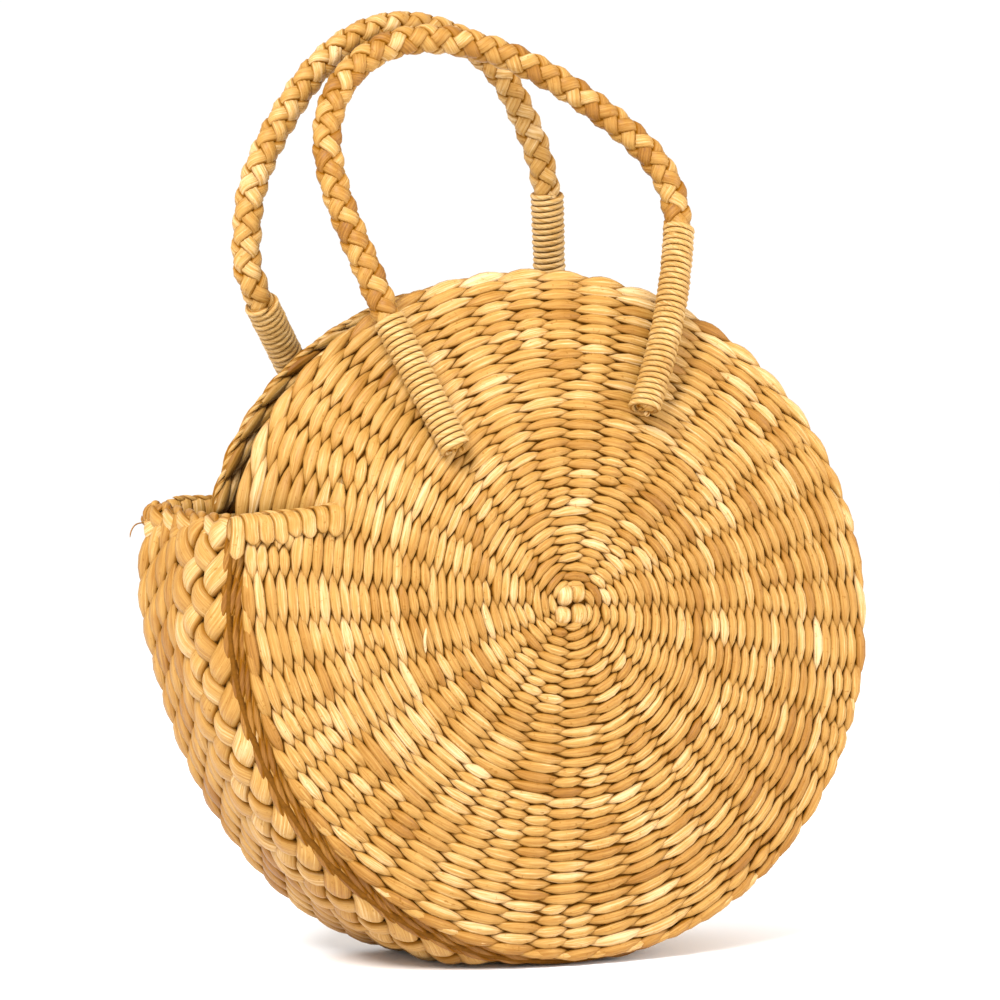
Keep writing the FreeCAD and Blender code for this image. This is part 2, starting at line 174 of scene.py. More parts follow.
class BagSizes(bpy.types.PropertyGroup):
    """Sizes of the bag and of its weave"""

    disc_radius: length("Disc radius", "Mean radius of the woven discs", 0.187)
    out_of_round: length("Out of round", "How far the discs are drawn out along their long axis", 0.005)
    long_axis: angle("Long axis", "Direction of the discs' long axis", -52.0)
    disc_height: length("Disc height", "Height of the discs' middle", 0.19187)
    front_shift: length("Front shift", "Sideways place of the front disc", 0.007)
    back_shift: length("Back shift", "Sideways place of the back disc", -0.003)
    half_depth: length("Half depth", "Distance of each disc's rim from the middle plane", 0.050)
    dome: length("Dome", "Rise of each disc's middle", 0.014)
    mouth_lean: length("Mouth lean", "Inward lean of the free upper panels", 0.042)
    mouth_lean_angle: angle("Mouth lean angle", "Steepness of that lean beside the slit", 33.0)
    front_draw: length("Front draw", "How far the free front panel is drawn in at the slit", 0.001)
    back_draw: length("Back draw", "How far the free back panel is drawn in at the slit", 0.0125)
    front_top_drop: length("Front top drop", "How far the free front panel has settled at its top", 0.0072)
    back_top_drop: length("Back top drop", "How far the free back panel has settled at its top", 0.0142)
    gusset_height: length("Gusset height", "Height of the gusset's middle", 0.18887)
    gusset_half: length("Gusset half width", "Half of the gusset's width", 0.0462)
    gusset_lean: length("Gusset lean", "Sideways lean of the gusset from front to back", -0.008)
    gusset_flare: length("Gusset flare", "How far the gusset opens at its free ends", 0.0075)
    gusset_belly: length("Gusset belly", "How far the gusset bulges just below its free ends", 0.0040)
    gusset_sag: length("Gusset sag", "How far the gusset sags beside its foot", 0.0068)
    lip_drop: length("Lip drop", "How far the front slit sags at its open end", 0.0080)
    hem_front_drop: length("Hem drop in front", "Sag of the gusset's end beside the front panel", 0.0090)
    hem_back_drop: length("Hem drop at the back", "Sag of the gusset's end beside the back panel", 0.0030)
    row_count: IntProperty(name="Rows", description="Twined rows from the eye to the rim", default=33)
    eye_radius: length("Eye radius", "Radius of the first row round the eye", 0.0112)
    inner_pitch: length("Inner pitch", "Distance between the first rows", 0.0048)
    edge_width: length("Edge width", "Width of the border of the free edge", 0.0085)
    eye_stitch: length("Eye stitch", "Distance between the spokes beside the eye", 0.0095)
    stitch_length: length("Stitch length", "Distance between the spokes at the rim", 0.0235)
    stitch_lift: length("Stitch lift", "Height of the stitches over the middle of the sheet", 0.0021)
    stitch_dive: length("Stitch dive", "How far the tips of a stitch dive under their neighbours", 0.0020)
    stitch_depth: length("Stitch depth", "Half of a stitch's thickness", 0.0024)
    eye_rise: length("Eye rise", "Height of the spiral's eye above the disc's middle", 0.004)
    eye_shift: length("Eye shift", "Sideways place of the front spiral's eye on its disc", -0.0058)
    braid_middle: length("Braid middle", "Depth of the flat braid's middle line", -0.0165)
    braid_lap: length("Braid lap", "How far the braid moves forward where its seam gapes", 0.0100)
    braid_sway: length("Braid sway", "Sideways sway of the braid's ribbons", 0.0188)
    braid_shift: length("Braid shift", "Sideways place of the braid on its middle line", 0.0056)
    braid_repeat: length("Braid repeat", "Length in which a ribbon of the braid comes back", 0.116)
    rope_turn: length("Rope turn", "Length of one turn of the handle's strands", 0.039)
    front_winding: length("Front winding", "Radius of the cord's turns on the front handle", 0.0070)
    back_winding: length("Back winding", "Radius of the cord's turns on the back handle", 0.0076)
    cord_pitch: length("Cord pitch", "Distance between turns of the winding", 0.00335)


class BagColours(bpy.types.PropertyGroup):
    """Colours of the dry straw"""

    brown: colour("Brown", "Darkest straw", (0.152, 0.053, 0.002))
    tan: colour("Tan", "Darker straw", (0.250, 0.107, 0.013))
    straw: colour("Straw", "Usual straw", (0.362, 0.194, 0.044))
    pale: colour("Pale", "Palest straw", (0.575, 0.405, 0.212))
    cord: colour("Cord", "Wound cord", (0.385, 0.224, 0.066))
    # Painted shade: the gap colour stands for the shade deep in the weave, between the stitches and round the
    # rope's core
    gap: colour("Gap", "Depth of the weave", (0.105, 0.038, 0.002))
    floor: colour("Floor", "Pale floor", (1.0, 1.0, 1.0))


def clamp(value, low, high):
    """Value kept between two limits."""
    return min(max(value, low), high)


def hill(value, middle, spread):
    """Height of a smooth hill of height one."""
    return math.exp(-(((value - middle) / spread) ** 2))


def heading(points, index):
    """Direction of a line at one of its points."""
    last = len(points) - 1
    return (points[min(index + 1, last)] - points[max(index - 1, 0)]).normalized()


def square_to(way, wanted):
    """Direction at right angles to a way, as near as can be to the wanted one."""
    return (wanted - way * wanted.dot(way)).normalized()


class Outline:
    """Outline of the discs and of the gusset: a circle drawn out of round."""

    def __init__(self, sizes):
        self.radius = sizes.disc_radius
        self.stretch = sizes.out_of_round
        self.long_axis = sizes.long_axis

    def edge(self, turn, grow=0.0):
        """Distance of the outline from its middle at an angle."""
        long_radius = self.radius + self.stretch + grow
        short_radius = self.radius - self.stretch + grow
        turn -= self.long_axis
        across = math.hypot(short_radius * math.cos(turn), long_radius * math.sin(turn))
        return long_radius * short_radius / across

    def left_end(self, level):
        """X of the outline's left side at a height, both counted from its middle."""
        cosine = math.cos(self.long_axis)
        sine = math.sin(self.long_axis)
        long_term = (self.radius + self.stretch) ** -2
        short_term = (self.radius - self.stretch) ** -2
        x_term = cosine ** 2 * long_term + sine ** 2 * short_term
        z_term = sine ** 2 * long_term + cosine ** 2 * short_term
        cross_term = cosine * sine * (long_term - short_term) * level
        root = math.sqrt(cross_term ** 2 - x_term * (z_term * level ** 2 - 1))
        return (-cross_term - root) / x_term


class Side(Outline):
    """One woven side of the bag, with angles counted as they are seen from outside."""

    sag_at_tip = 0.55
    sag_onset = 0.006
    sag_span = 0.052
    sag_height = 0.03
    draw_onset = 0.03

    def __init__(self, sizes, name):
        super().__init__(sizes)

        def chosen(front, back):
            return front if name == "front" else back

        self.name = name
        self.facing = FACING[name]
        self.shift = chosen(sizes.front_shift, sizes.back_shift)
        self.draw = chosen(sizes.front_draw, sizes.back_draw)
        self.top_drop = chosen(sizes.front_top_drop, sizes.back_top_drop)
        self.lip_drop = chosen(sizes.lip_drop, 0.0)
        self.eye_shift = chosen(sizes.eye_shift, 0.0)
        self.eye_rise = sizes.eye_rise
        self.height = sizes.disc_height
        self.half_depth = sizes.half_depth
        self.dome_rise = sizes.dome
        self.lean_depth = sizes.mouth_lean
        self.lean_rate = math.tan(sizes.mouth_lean_angle)
        self.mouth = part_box(name + "_panel_lower")[1].z
        self.slit_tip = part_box(name + "_slit_hem")[1].x - SLIT_CUT[name]
        self.slit_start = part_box(name + "_slit_hem")[0].x

    def rim(self, turn):
        """Distance of the rim from the disc's middle at an angle."""
        return self.edge(turn if self.facing < 0 else math.pi - turn)

    def spot(self, turn, radius, share):
        """X and Z at an angle and a distance from the eye, which lies beside the disc's middle."""
        x = self.shift + self.eye_shift * (1 - share) - self.facing * radius * math.cos(turn)
        return x, self.height + self.eye_rise * (1 - share) + radius * math.sin(turn)

    def sag(self, x):
        """How far the slit sags: soon after its tip, and more towards its open end."""
        beside = max(self.slit_tip - x, 0.0)
        soon = self.sag_at_tip * (1 - math.exp(-beside / self.sag_onset))
        return self.lip_drop * (soon + (1 - self.sag_at_tip) * beside / self.sag_span)

    def reach(self, x, z):
        """How far a point of the free panel lies from the sewn part, round the tip of the slit."""
        beside = x - self.slit_tip
        return math.hypot(beside, max(z - self.mouth, 0.0)) - beside

    def depth(self, x, z, upper):
        """Y of the middle of the sheet: domed, and leaning in above the mouth line."""
        across = x - self.shift
        up = z - self.height
        share = math.hypot(across, up) / self.edge(math.atan2(up, across))
        out = self.half_depth + self.dome_rise * (1 - share * share)
        if upper:
            out -= self.lean_depth * math.tanh(self.lean_rate * self.reach(x, z) / self.lean_depth)
        return self.facing * out

    def at(self, x, z, lift, upper):
        """Point at a height over the middle of the sheet, on its outer side."""
        z -= self.sag(x) * max(1 - abs(z - self.mouth) / self.sag_height, 0.0)
        if upper:
            share = (self.radius - x + self.shift) / (2 * self.radius)
            x += self.draw * share * (1 - math.exp(-self.reach(x, z) / self.draw_onset))
            rise = max(z - self.mouth, 0.0) / (self.height + self.radius - self.mouth)
            z -= self.top_drop * share * rise * rise
        step = 0.0004
        y = self.depth(x, z, upper)
        slope_x = (self.depth(x + step, z, upper) - y) / step
        slope_z = (self.depth(x, z + step, upper) - y) / step
        out = Vector((-slope_x, 1.0, -slope_z)).normalized() * (self.facing * lift)
        return Vector((x, y, z)) + out


class Ring(Outline):
    """The gusset: a ring between the panels, open at the mouth and flat on the floor."""

    end_overlap = 0.003
    flare_span = 0.10
    belly_place = 0.042
    belly_spread = 0.034
    sag_degrees = 244
    sag_spread = 26

    def __init__(self, sizes):
        super().__init__(sizes)
        self.height = sizes.gusset_height
        self.half = sizes.gusset_half
        self.lean = sizes.gusset_lean
        self.flare = sizes.gusset_flare
        self.belly = sizes.gusset_belly
        self.sag = sizes.gusset_sag
        self.front_drop = sizes.hem_front_drop
        self.back_drop = sizes.hem_back_drop
        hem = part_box("gusset_strip")[1].z
        rise = math.asin((hem + self.end_overlap - self.height) / self.radius)
        self.start = math.pi - rise
        self.sweep = math.pi + 2 * rise
        self.run = self.sweep * self.radius

    def share(self, y):
        """Share of the way from the gusset's front edge to its back edge."""
        return (y + self.half) / (2 * self.half)

    def middle(self, y):
        """X of the ring's middle at a depth."""
        return self.lean * self.share(y)

    def hem_drop(self, y):
        """How far the gusset's end sags at a depth."""
        return self.front_drop + (self.back_drop - self.front_drop) * clamp(self.share(y), 0.0, 1.0)

    def at(self, along, y, grow, rest=0.0006):
        """Point at a distance along the gusset from its left end, at a depth and a height."""
        turn = self.start + self.sweep * along / self.run
        end = min(along, self.run - along)
        slack = self.flare * max(1 - end / self.flare_span, 0.0) ** 2
        slack += self.belly * hill(end, self.belly_place, self.belly_spread)
        slack += self.sag * hill(math.degrees(turn), self.sag_degrees, self.sag_spread)
        radius = self.edge(turn, grow + slack * clamp(self.share(y), 0.0, 1.0))
        z = self.height + radius * math.sin(turn)
        return Vector((self.middle(y) + radius * math.cos(turn), y, max(z, rest)))

    def out(self, point):
        """Direction away from the ring's middle."""
        return Vector((point.x - self.middle(point.y), 0, point.z - self.height)).normalized()


def seam_edges(ring, side, along):
    """Edge of the gusset and rim of a panel, across the seam, at a distance along the gusset."""
    edge_inset = 0.0005
    edge_rest = 0.0030
    rim_inset = 0.002
    rim_rest = 0.0035
    along = clamp(along, 0.0, ring.run)
    edge = ring.at(along, side.facing * (ring.half - edge_inset), edge_inset, rest=edge_rest)
    turn = math.atan2(edge.z - side.height, edge.x - side.shift)
    radius = side.edge(turn) - rim_inset
    x = side.shift + radius * math.cos(turn)
    z = side.height + radius * math.sin(turn)
    return edge, Vector((x, side.facing * side.half_depth, max(z, rim_rest)))


class Piece:
    """A mesh in the making, with a shade and a hollow value on each vertex and a strand map; the material
    darkens hollow places as painted shade.
    """

    def __init__(self):
        self.bm = bmesh.new()
        self.shade = self.bm.verts.layers.float.new("shade")
        self.hollow = self.bm.verts.layers.float.new("hollow")
        self.strand = self.bm.loops.layers.uv.new("strand")

    def lay(self, template, place, shade):
        """Adds a copy of a stitch, with each vertex put in its place."""
        first = len(self.bm.verts)
        self.bm.from_mesh(template)
        self.bm.verts.ensure_lookup_table()
        for vert in self.bm.verts[first:]:
            vert[self.shade] = shade
            vert.co = place(vert.co)

    def sweep(self, stations, shade, around=8, map_length=0.02, material=0):
        """Adds a strand along stations of middle, side, up, half width, half thickness and hollow."""
        last = len(stations) - 1
        lengths = [0.0]
        for here, there in zip(stations, stations[1:]):
            lengths.append(lengths[-1] + (there[0] - here[0]).length)
        made = Piece()
        bmesh.ops.create_grid(made.bm, x_segments=last, y_segments=around, size=1.0)
        for face in made.bm.faces:
            face.smooth = True
            face.material_index = material
            for loop in face.loops:
                run = lengths[round((loop.vert.co.x + 1) / 2 * last)]
                loop[made.strand].uv = (run / map_length, (loop.vert.co.y + 1) / 2)
        for vert in made.bm.verts:
            middle, side, up, half_width, half_depth, hollow = stations[round((vert.co.x + 1) / 2 * last)]
            turn = math.pi * (vert.co.y + 1)
            vert[made.shade] = shade
            vert[made.hollow] = hollow
            vert.co = middle + side * (half_width * math.cos(turn)) + up * (half_depth * math.sin(turn))
        bmesh.ops.remove_doubles(made.bm, verts=made.bm.verts, dist=1e-7)
        self.join(made)

    def join(self, made):
        """Adds all of another piece, which is used up."""
        mesh = bpy.data.meshes.new("part")
        made.bm.to_mesh(mesh)
        made.bm.free()
        self.bm.from_mesh(mesh)
        bpy.data.meshes.remove(mesh)

    def ribbon(self, points, half_width, half_depth, side, shade, step):
        """Adds a flat ribbon along a smooth line, with rounded ends."""
        rounded = 3
        line = along_bezier(points, step)
        last = len(line) - 1
        stations = []
        for index, point in enumerate(line):
            way = heading(line, index)
            across = square_to(way, side)
            size = math.sqrt(min(min(index, last - index) / rounded, 1.0))
            stations.append((point, across, across.cross(way), half_width * size, half_depth * size, 0.0))
        self.sweep(stations, shade)

    def finish(self, name, finishes, slot):
        """Makes the named piece with its finishes; the mesh in the making is used up, and the slot it is
        given is not used.
        """
        bmesh.ops.recalc_face_normals(self.bm, faces=self.bm.faces)
        mesh = bpy.data.meshes.new(name)
        self.bm.to_mesh(mesh)
        self.bm.free()
        for material in finishes:
            mesh.materials.append(material)
        piece = bpy.data.objects.new(name, mesh)
        bpy.context.scene.collection.objects.link(piece)
        return piece


def stitch_template(name, around, along, point=1.8):
    """One twined stitch: a leaf pointed at both ends, one unit long each way."""
    tip_start = 0.5
    blunt = 2.2
    fullness = 0.7
    piece = Piece()
    bm = piece.bm
    bmesh.ops.create_uvsphere(bm, u_segments=around, v_segments=along, radius=1.0)
    for face in bm.faces:
        face.smooth = True
        middle = face.calc_center_median()
        towards = math.atan2(middle.y, middle.x)
        for loop in face.loops:
            co = loop.vert.co
            turn = towards if abs(co.z) > 0.999 else math.atan2(co.y, co.x)
            turn = towards + (turn - towards + math.pi) % math.tau - math.pi
            loop[piece.strand].uv = (0.5 + co.z / 2, 0.5 + turn / math.tau)
    for vert in bm.verts:
        girth = math.hypot(vert.co.x, vert.co.y)
        # Hollow value: grows towards the tips, which the material darkens as painted shade where they dive
        # under their neighbours
        vert[piece.hollow] = max(abs(vert.co.z) - tip_start, 0.0) / (1 - tip_start)
        if girth > 1e-6:
            vert.co.x *= max(1 - abs(vert.co.z) ** point, 0.0) / girth
            vert.co.y *= max(1 - abs(vert.co.z) ** blunt, 0.0) ** fullness / girth
    mesh = bpy.data.meshes.new(name)
    bm.to_mesh(mesh)
    bm.free()
    return mesh


def pick_shade(rng):
    """Shade of a strand from 0, brown, to 1, pale: mostly middling, with some odd ones."""
    odd_ones = 0.08
    if rng.random() < odd_ones:
        return rng.uniform(0.05, 0.35)
    return clamp(rng.gauss(0.56, 0.15), 0.12, 1.0)


def spoke_widths(spokes):
    """Angle from each spoke to the next."""
    return [(spokes[(k + 1) % len(spokes)] - spoke) % math.tau for k, spoke in enumerate(spokes)]


def stitch_rows(rng, sizes):
    """Rows of the spiral weave: the radius of each and the angles of the spokes between its stitches."""
    first_spokes = 7
    rim_inset = 0.0035
    lengthening = 0.075
    evening = 0.22
    last = sizes.row_count - 1
    reach = sizes.disc_radius - rim_inset
    grow = (reach - sizes.eye_radius - sizes.inner_pitch * last) / last ** 2
    shorter = sizes.stitch_length - sizes.eye_stitch
    spokes = [math.tau * k / first_spokes for k in range(first_spokes)]
    for row in range(sizes.row_count):
        radius = sizes.eye_radius + sizes.inner_pitch * row + grow * row * row
        wanted = sizes.stitch_length - shorter * math.exp(-radius / lengthening)
        widths = spoke_widths(spokes)
        while len(spokes) < round(math.tau * radius / wanted):
            chosen = max(range(len(spokes)), key=lambda k: widths[k] * rng.uniform(0.8, 1.2))
            spokes.insert(chosen + 1, spokes[chosen] + widths[chosen] / 2)
            widths = spoke_widths(spokes)
        spokes = [spoke + evening * (widths[k] - widths[k - 1]) / 2 for k, spoke in enumerate(spokes)]
        yield radius, spokes


def lay_stitch(piece, side, template, stitch, shade):
    """Lays one stitch along the rows of a panel, its tips tucked between those of its neighbours."""
    free_overlap = 0.0060
    lip_gap = 0.0008

    def place(co):
        turn = stitch["turn"] + co.z * stitch["half"]
        out = stitch["share"] * side.rim(turn) + co.x * stitch["half_width"] - co.z * stitch["tilt"]
        lift = stitch["lift"] - stitch["dive"] * co.z * co.z + co.y * stitch["depth"]
        x, z = side.spot(turn, out, stitch["share"])
        if x < side.slit_tip:
            upper = stitch["upper"]
            z = max(z, side.mouth - free_overlap) if upper else min(z, side.mouth - lip_gap)
        else:
            upper = z > side.mouth
        return side.at(x, z, stitch["face"] * lift, upper)

    piece.lay(template, place, shade)


def weave(piece, side, sizes, template, face, rng):
    """Twined stitches of one face of a panel, row by row round the eye, in runs of like shade."""
    new_run = 0.12
    previous = sizes.eye_radius - sizes.inner_pitch
    free_edge = 1 - sizes.edge_width / sizes.disc_radius
    for radius, spokes in stitch_rows(rng, sizes):
        pitch = radius - previous
        previous = radius
        share = radius / sizes.disc_radius
        run_shade = pick_shade(rng)
        for start, width in zip(spokes, spoke_widths(spokes)):
            turn = start + width / 2 + rng.uniform(-0.03, 0.03) * width
            out = share * side.rim(turn)
            x, z = side.spot(turn, out, share)
            upper = z > side.mouth
            if rng.random() < new_run:
                run_shade = pick_shade(rng)
            stitch = {
                "face": face,
                "upper": upper,
                "turn": turn,
                "half": width * rng.uniform(0.68, 0.75),
                "tilt": pitch * rng.uniform(0.20, 0.36),
                "half_width": pitch * rng.uniform(0.58, 0.68),
                "lift": sizes.stitch_lift + rng.uniform(-0.0002, 0.0003),
                "dive": sizes.stitch_dive,
                "depth": sizes.stitch_depth * rng.uniform(0.9, 1.12),
                "share": share + rng.uniform(-0.04, 0.04) * pitch / sizes.disc_radius,
            }
            shade = 0.5 * run_shade + 0.5 * pick_shade(rng)
            tips = [side.spot(turn + end * stitch["half"], out, share)[1] for end in (-1, 1)]
            cut = x < side.slit_tip and min(tips) < side.mouth < max(tips)
            for half in (True, False) if cut else (upper,):
                stitch["upper"] = half
                if not (half and share > free_edge):
                    lay_stitch(piece, side, template, stitch, shade)


def weave_eye(piece, side, sizes, rng):
    """Start of the spiral: four broad stitches in the eye, on both faces."""
    extra_lift = 0.0012
    dive = 0.0022
    depth = 0.0030
    template = stitch_template("eye_stitch", 10, 10, point=5.0)
    for face in (1.0, -1.0):
        for across, up, half_width, half_height in EYE:

            def place(co):
                x = side.shift + side.eye_shift - side.facing * (across + co.x * half_width)
                z = side.height + side.eye_rise + up + co.z * half_height
                lift = sizes.stitch_lift + extra_lift - dive * co.z * co.z + co.y * depth
                return side.at(x, z, face * lift, False)

            piece.lay(template, place, rng.uniform(0.55, 0.8))


def backing(piece, side):
    """Inner strands of the sheet under the stitches, cut open along the slit."""
    rim_share = 0.985
    thickness = 0.0010
    sheet = Piece()
    bm = sheet.bm
    verts = bmesh.ops.create_grid(bm, x_segments=72, y_segments=12, size=1.0)["verts"]
    for vert in verts:
        turn = math.pi * vert.co.x
        share = (vert.co.y + 1) / 2 * rim_share
        x, z = side.spot(turn, share * side.rim(turn), share)
        vert.co = (x, 0.0, z)
    bmesh.ops.remove_doubles(bm, verts=bm.verts, dist=1e-6)
    everything = bm.verts[:] + bm.edges[:] + bm.faces[:]
    bmesh.ops.bisect_plane(bm, geom=everything, dist=1e-6, plane_co=(0, 0, side.mouth), plane_no=UP)
    slit = []
    for edge in bm.edges:
        level = all(abs(vert.co.z - side.mouth) < 1e-5 for vert in edge.verts)
        if level and all(vert.co.x < side.slit_tip for vert in edge.verts):
            slit.append(edge)
    bmesh.ops.split_edges(bm, edges=slit)
    tops = [max(face.calc_center_median().z for face in vert.link_faces) for vert in bm.verts]
    for vert, top in zip(bm.verts, tops):
        vert.co = side.at(vert.co.x, vert.co.z, 0.0, top > side.mouth)
    bmesh.ops.recalc_face_normals(bm, faces=bm.faces)
    middle = sum(vert.co.y for vert in bm.verts) / len(bm.verts)
    bmesh.ops.solidify(bm, geom=bm.faces[:], thickness=thickness)
    moved = sum(vert.co.y for vert in bm.verts) / len(bm.verts)
    bmesh.ops.translate(bm, verts=bm.verts, vec=(0, middle - moved, 0))
    # The sheet takes the second finish, dark as painted shade deep between the stitches
    for face in bm.faces:
        face.material_index = 1
        face.smooth = True
    piece.join(sheet)


def edge_row(piece, side, sizes, template, first, last, upper, rng):
    """Stitches that close the rim of a panel between two angles: thick and slanted on the free edge."""
    kind = RIM_STITCHES["free" if upper else "sewn"]
    dive = 0.0012
    count = int(abs(last - first) * sizes.disc_radius / kind["run"])
    width = abs(last - first) / count
    for face in (1.0, -1.0) if upper else (1.0,):
        offset = 0.5 if face > 0 else 0.25
        for index in range(count):
            stitch = {
                "face": face,
                "upper": upper,
                "turn": min(first, last) + (index + offset) * width,
                "half": width * rng.uniform(0.66, 0.74),
                "tilt": kind["tilt"] * rng.uniform(0.8, 1.2),
                "half_width": kind["half_width"] * rng.uniform(0.92, 1.05),
                "lift": kind["lift"],
                "dive": dive,
                "depth": kind["depth"],
                "share": 1 - kind["inset"] / sizes.disc_radius,
            }
            lay_stitch(piece, side, template, stitch, pick_shade(rng))


def tube(points, ups, half_width, half_depth, taper=2, hollows=None):
    """Stations of a strand along points, with its flat side towards the given directions."""
    stations = []
    last = len(points) - 1
    for index, point in enumerate(points):
        way = heading(points, index)
        up = square_to(way, ups[index])
        size = math.sqrt(min(min(index, last - index) / taper, 1.0))
        hollow = hollows[index] if hollows else 0.0
        stations.append((point, way.cross(up), up, half_width * size, half_depth * size, hollow))
    return stations


def twist(piece, points, ups, cord):
    """Twisted cord along points, with its strands laid round each other."""
    offset, half_width, half_depth, pitch, shades = CORDS[cord]
    for number, shade in enumerate(shades):
        line = []
        outs = []
        run = 0.0
        for index, point in enumerate(points):
            way = heading(points, index)
            up = square_to(way, ups[index])
            run += (point - points[max(index - 1, 0)]).length
            lay = math.tau * (run / pitch + number / len(shades))
            out = up * math.cos(lay) + way.cross(up) * math.sin(lay)
            line.append(point + out * offset)
            outs.append(out)
        piece.sweep(tube(line, outs, half_width, half_depth), shade, map_length=0.024)


def edge_cord(piece, side, first, last):
    """Thin twisted cord along the free edge of a panel between two angles."""
    steps = 160
    inset = 0.0014
    sink = 0.0006
    points = []
    outs = []
    for index in range(steps + 1):
        turn = first + (last - first) * index / steps
        x, z = side.spot(turn, side.rim(turn) - inset, 1.0)
        points.append(side.at(x, z, -sink, True))
        outs.append(Vector((x - side.shift, 0, z - side.height)))
    twist(piece, points, outs, "edge")


def mouth_turns(side):
    """Angles, seen from outside, at which the rim crosses the mouth line: right and left of the eye."""
    level = side.mouth + 0.003
    halvings = 30
    turns = []
    for low, high in ((0.0, math.pi / 2), (math.pi, math.pi / 2)):
        for _ in range(halvings):
            turn = (low + high) / 2
            z = side.spot(turn, side.rim(turn), 1.0)[1]
            low, high = (turn, high) if z < level else (low, turn)
        turns.append(turn)
    return turns


def along_bezier(points, step):
    """Evenly spaced points on a smooth line through points with directions."""
    fineness = 40
    line = []
    for (start, start_way), (end, end_way) in zip(points, points[1:]):
        bend = start_way.angle(end_way)
        arm = (end - start).length / 3 / math.cos(bend / 4) ** 2
        line += interpolate_bezier(start, start + start_way * arm, end - end_way * arm, end, fineness)[:-1]
    line.append(points[-1][0].copy())
    even = [line[0]]
    spare = 0.0
    for here, there in zip(line, line[1:]):
        gap = (there - here).length
        while spare + gap >= step:
            share = (step - spare) / gap
            here = here.lerp(there, share)
            gap = (there - here).length
            even.append(here)
            spare = 0.0
        spare += gap
    return even


def socket_value(tree, target, value):
    """Links a socket to another one or sets it to a plain value."""
    if isinstance(value, bpy.types.NodeSocket):
        tree.links.new(value, target)
    else:
        target.default_value = value


def node(tree, kind, settings=None, **inputs):
    """Adds a shader node; inputs are named after its sockets, with spaces as underscores, or numbered."""
    made = tree.nodes.new("ShaderNode" + kind)
    for key, value in (settings or {}).items():
        setattr(made, key, value)
    for key, value in inputs.items():
        index = int(key[1:]) if key[1:].isdigit() else key.replace("_", " ")
        socket_value(tree, made.inputs[index], value)
    return made


def maths(tree, operation, *values):
    """Adds a step of arithmetic on shader values and gives its result."""
    made = tree.nodes.new("ShaderNodeMath")
    made.operation = operation
    for target, value in zip(made.inputs, values):
        socket_value(tree, target, value)
    return made.outputs[0]


def noise(tree, place, **settings):
    """Adds a noise pattern and gives its value."""
    return node(tree, "TexNoise", Vector=place, **settings).outputs["Fac"]


def bare_material(name):
    """New material with an empty shader tree."""
    material = bpy.data.materials.new(name)
    material.use_nodes = True
    material.node_tree.nodes.clear()
    return material, material.node_tree


def straw_material(name, colours, lift=0.0, fibres=22.0, wound=0.0, tint=None, painted_crease_shade=0.85):
    """Dry plant strand: streaks along its fibres, odd brown flecks, and painted shade where it dives under
    its neighbours and along the creases at its sides.
    """
    material, tree = bare_material(name)
    shade = node(tree, "Attribute", {"attribute_name": "shade"}).outputs["Fac"]
    hollow = node(tree, "Attribute", {"attribute_name": "hollow"}).outputs["Fac"]
    strand = node(tree, "SeparateXYZ", Vector=node(tree, "UVMap", {"uv_map": "strand"}).outputs["UV"])
    along, across = strand.outputs[0], strand.outputs[1]
    around = maths(tree, "ADD", across, maths(tree, "MULTIPLY", along, wound))
    fibre_place = node(
        tree,
        "CombineXYZ",
        X=maths(tree, "MULTIPLY", along, 1.3),
        Y=maths(tree, "MULTIPLY", around, fibres),
        Z=maths(tree, "MULTIPLY", shade, 61.0),
    ).outputs[0]
    streaks = noise(tree, fibre_place, Scale=1.0, Detail=4.0, Roughness=0.66)
    place = node(tree, "TexCoord").outputs["Object"]
    patches = noise(tree, place, Scale=30.0, Detail=4.0, Roughness=0.62)
    flecks = noise(tree, place, Scale=430.0, Detail=2.0, Roughness=0.5)
    tone = maths(tree, "MULTIPLY_ADD", shade, 0.66, lift - 0.525)
    tone = maths(tree, "MULTIPLY_ADD", streaks, 0.95, tone)
    tone = maths(tree, "MULTIPLY_ADD", patches, 0.40, tone)
    ramp = node(tree, "ValToRGB", Fac=tone)
    stops = ramp.color_ramp.elements
    stops[0].position = 0.06
    stops[0].color = (*colours.brown, 1)
    stops[1].position = 0.84
    stops[1].color = (*colours.pale, 1)
    for position, value in ((0.30, colours.tan), (0.56, tint or colours.straw)):
        stops.new(position).color = (*value, 1)
    fleck = node(tree, "MapRange", Value=flecks, From_Min=0.64, From_Max=0.76, To_Min=0.0, To_Max=0.55)
    # Painted shade: darker towards the brown where the hollow value marks that the strand dives under a
    # neighbour
    dive = maths(tree, "MULTIPLY", maths(tree, "POWER", hollow, 1.3), 0.66)
    flecks_and_painted_shade = maths(tree, "MAXIMUM", fleck.outputs[0], dive)
    # Painted shade: both sides of every strand are darkened, standing for the shade in the creases between
    # neighbouring strands
    turn = maths(tree, "MULTIPLY", across, math.tau)
    border = maths(tree, "ABSOLUTE", maths(tree, "COSINE", turn))
    flecks_and_painted_shade = maths(tree, "MAXIMUM", flecks_and_painted_shade, maths(tree, "MULTIPLY", maths(tree, "POWER", border, 7.0), painted_crease_shade))
    # Real brown flecks and the painted shade darken the colour together; the same mask also lowers the
    # specular level
    mix = node(tree, "Mix", {"data_type": "RGBA"}, _0=flecks_and_painted_shade, _6=ramp.outputs[0], _7=(*colours.brown, 1))
    rough = node(tree, "MapRange", Value=streaks, From_Min=0.2, From_Max=0.8, To_Min=0.36, To_Max=0.64)
    bump = node(tree, "Bump", Strength=0.55, Distance=0.0006, Height=streaks)
    shader = node(
        tree,
        "BsdfPrincipled",
        Base_Color=mix.outputs[2],
        Roughness=rough.outputs[0],
        Normal=bump.outputs[0],
        Specular_IOR_Level=maths(tree, "MULTIPLY_ADD", flecks_and_painted_shade, -0.27, 0.24),
    )
    node(tree, "OutputMaterial", Surface=shader.outputs[0])
    return material


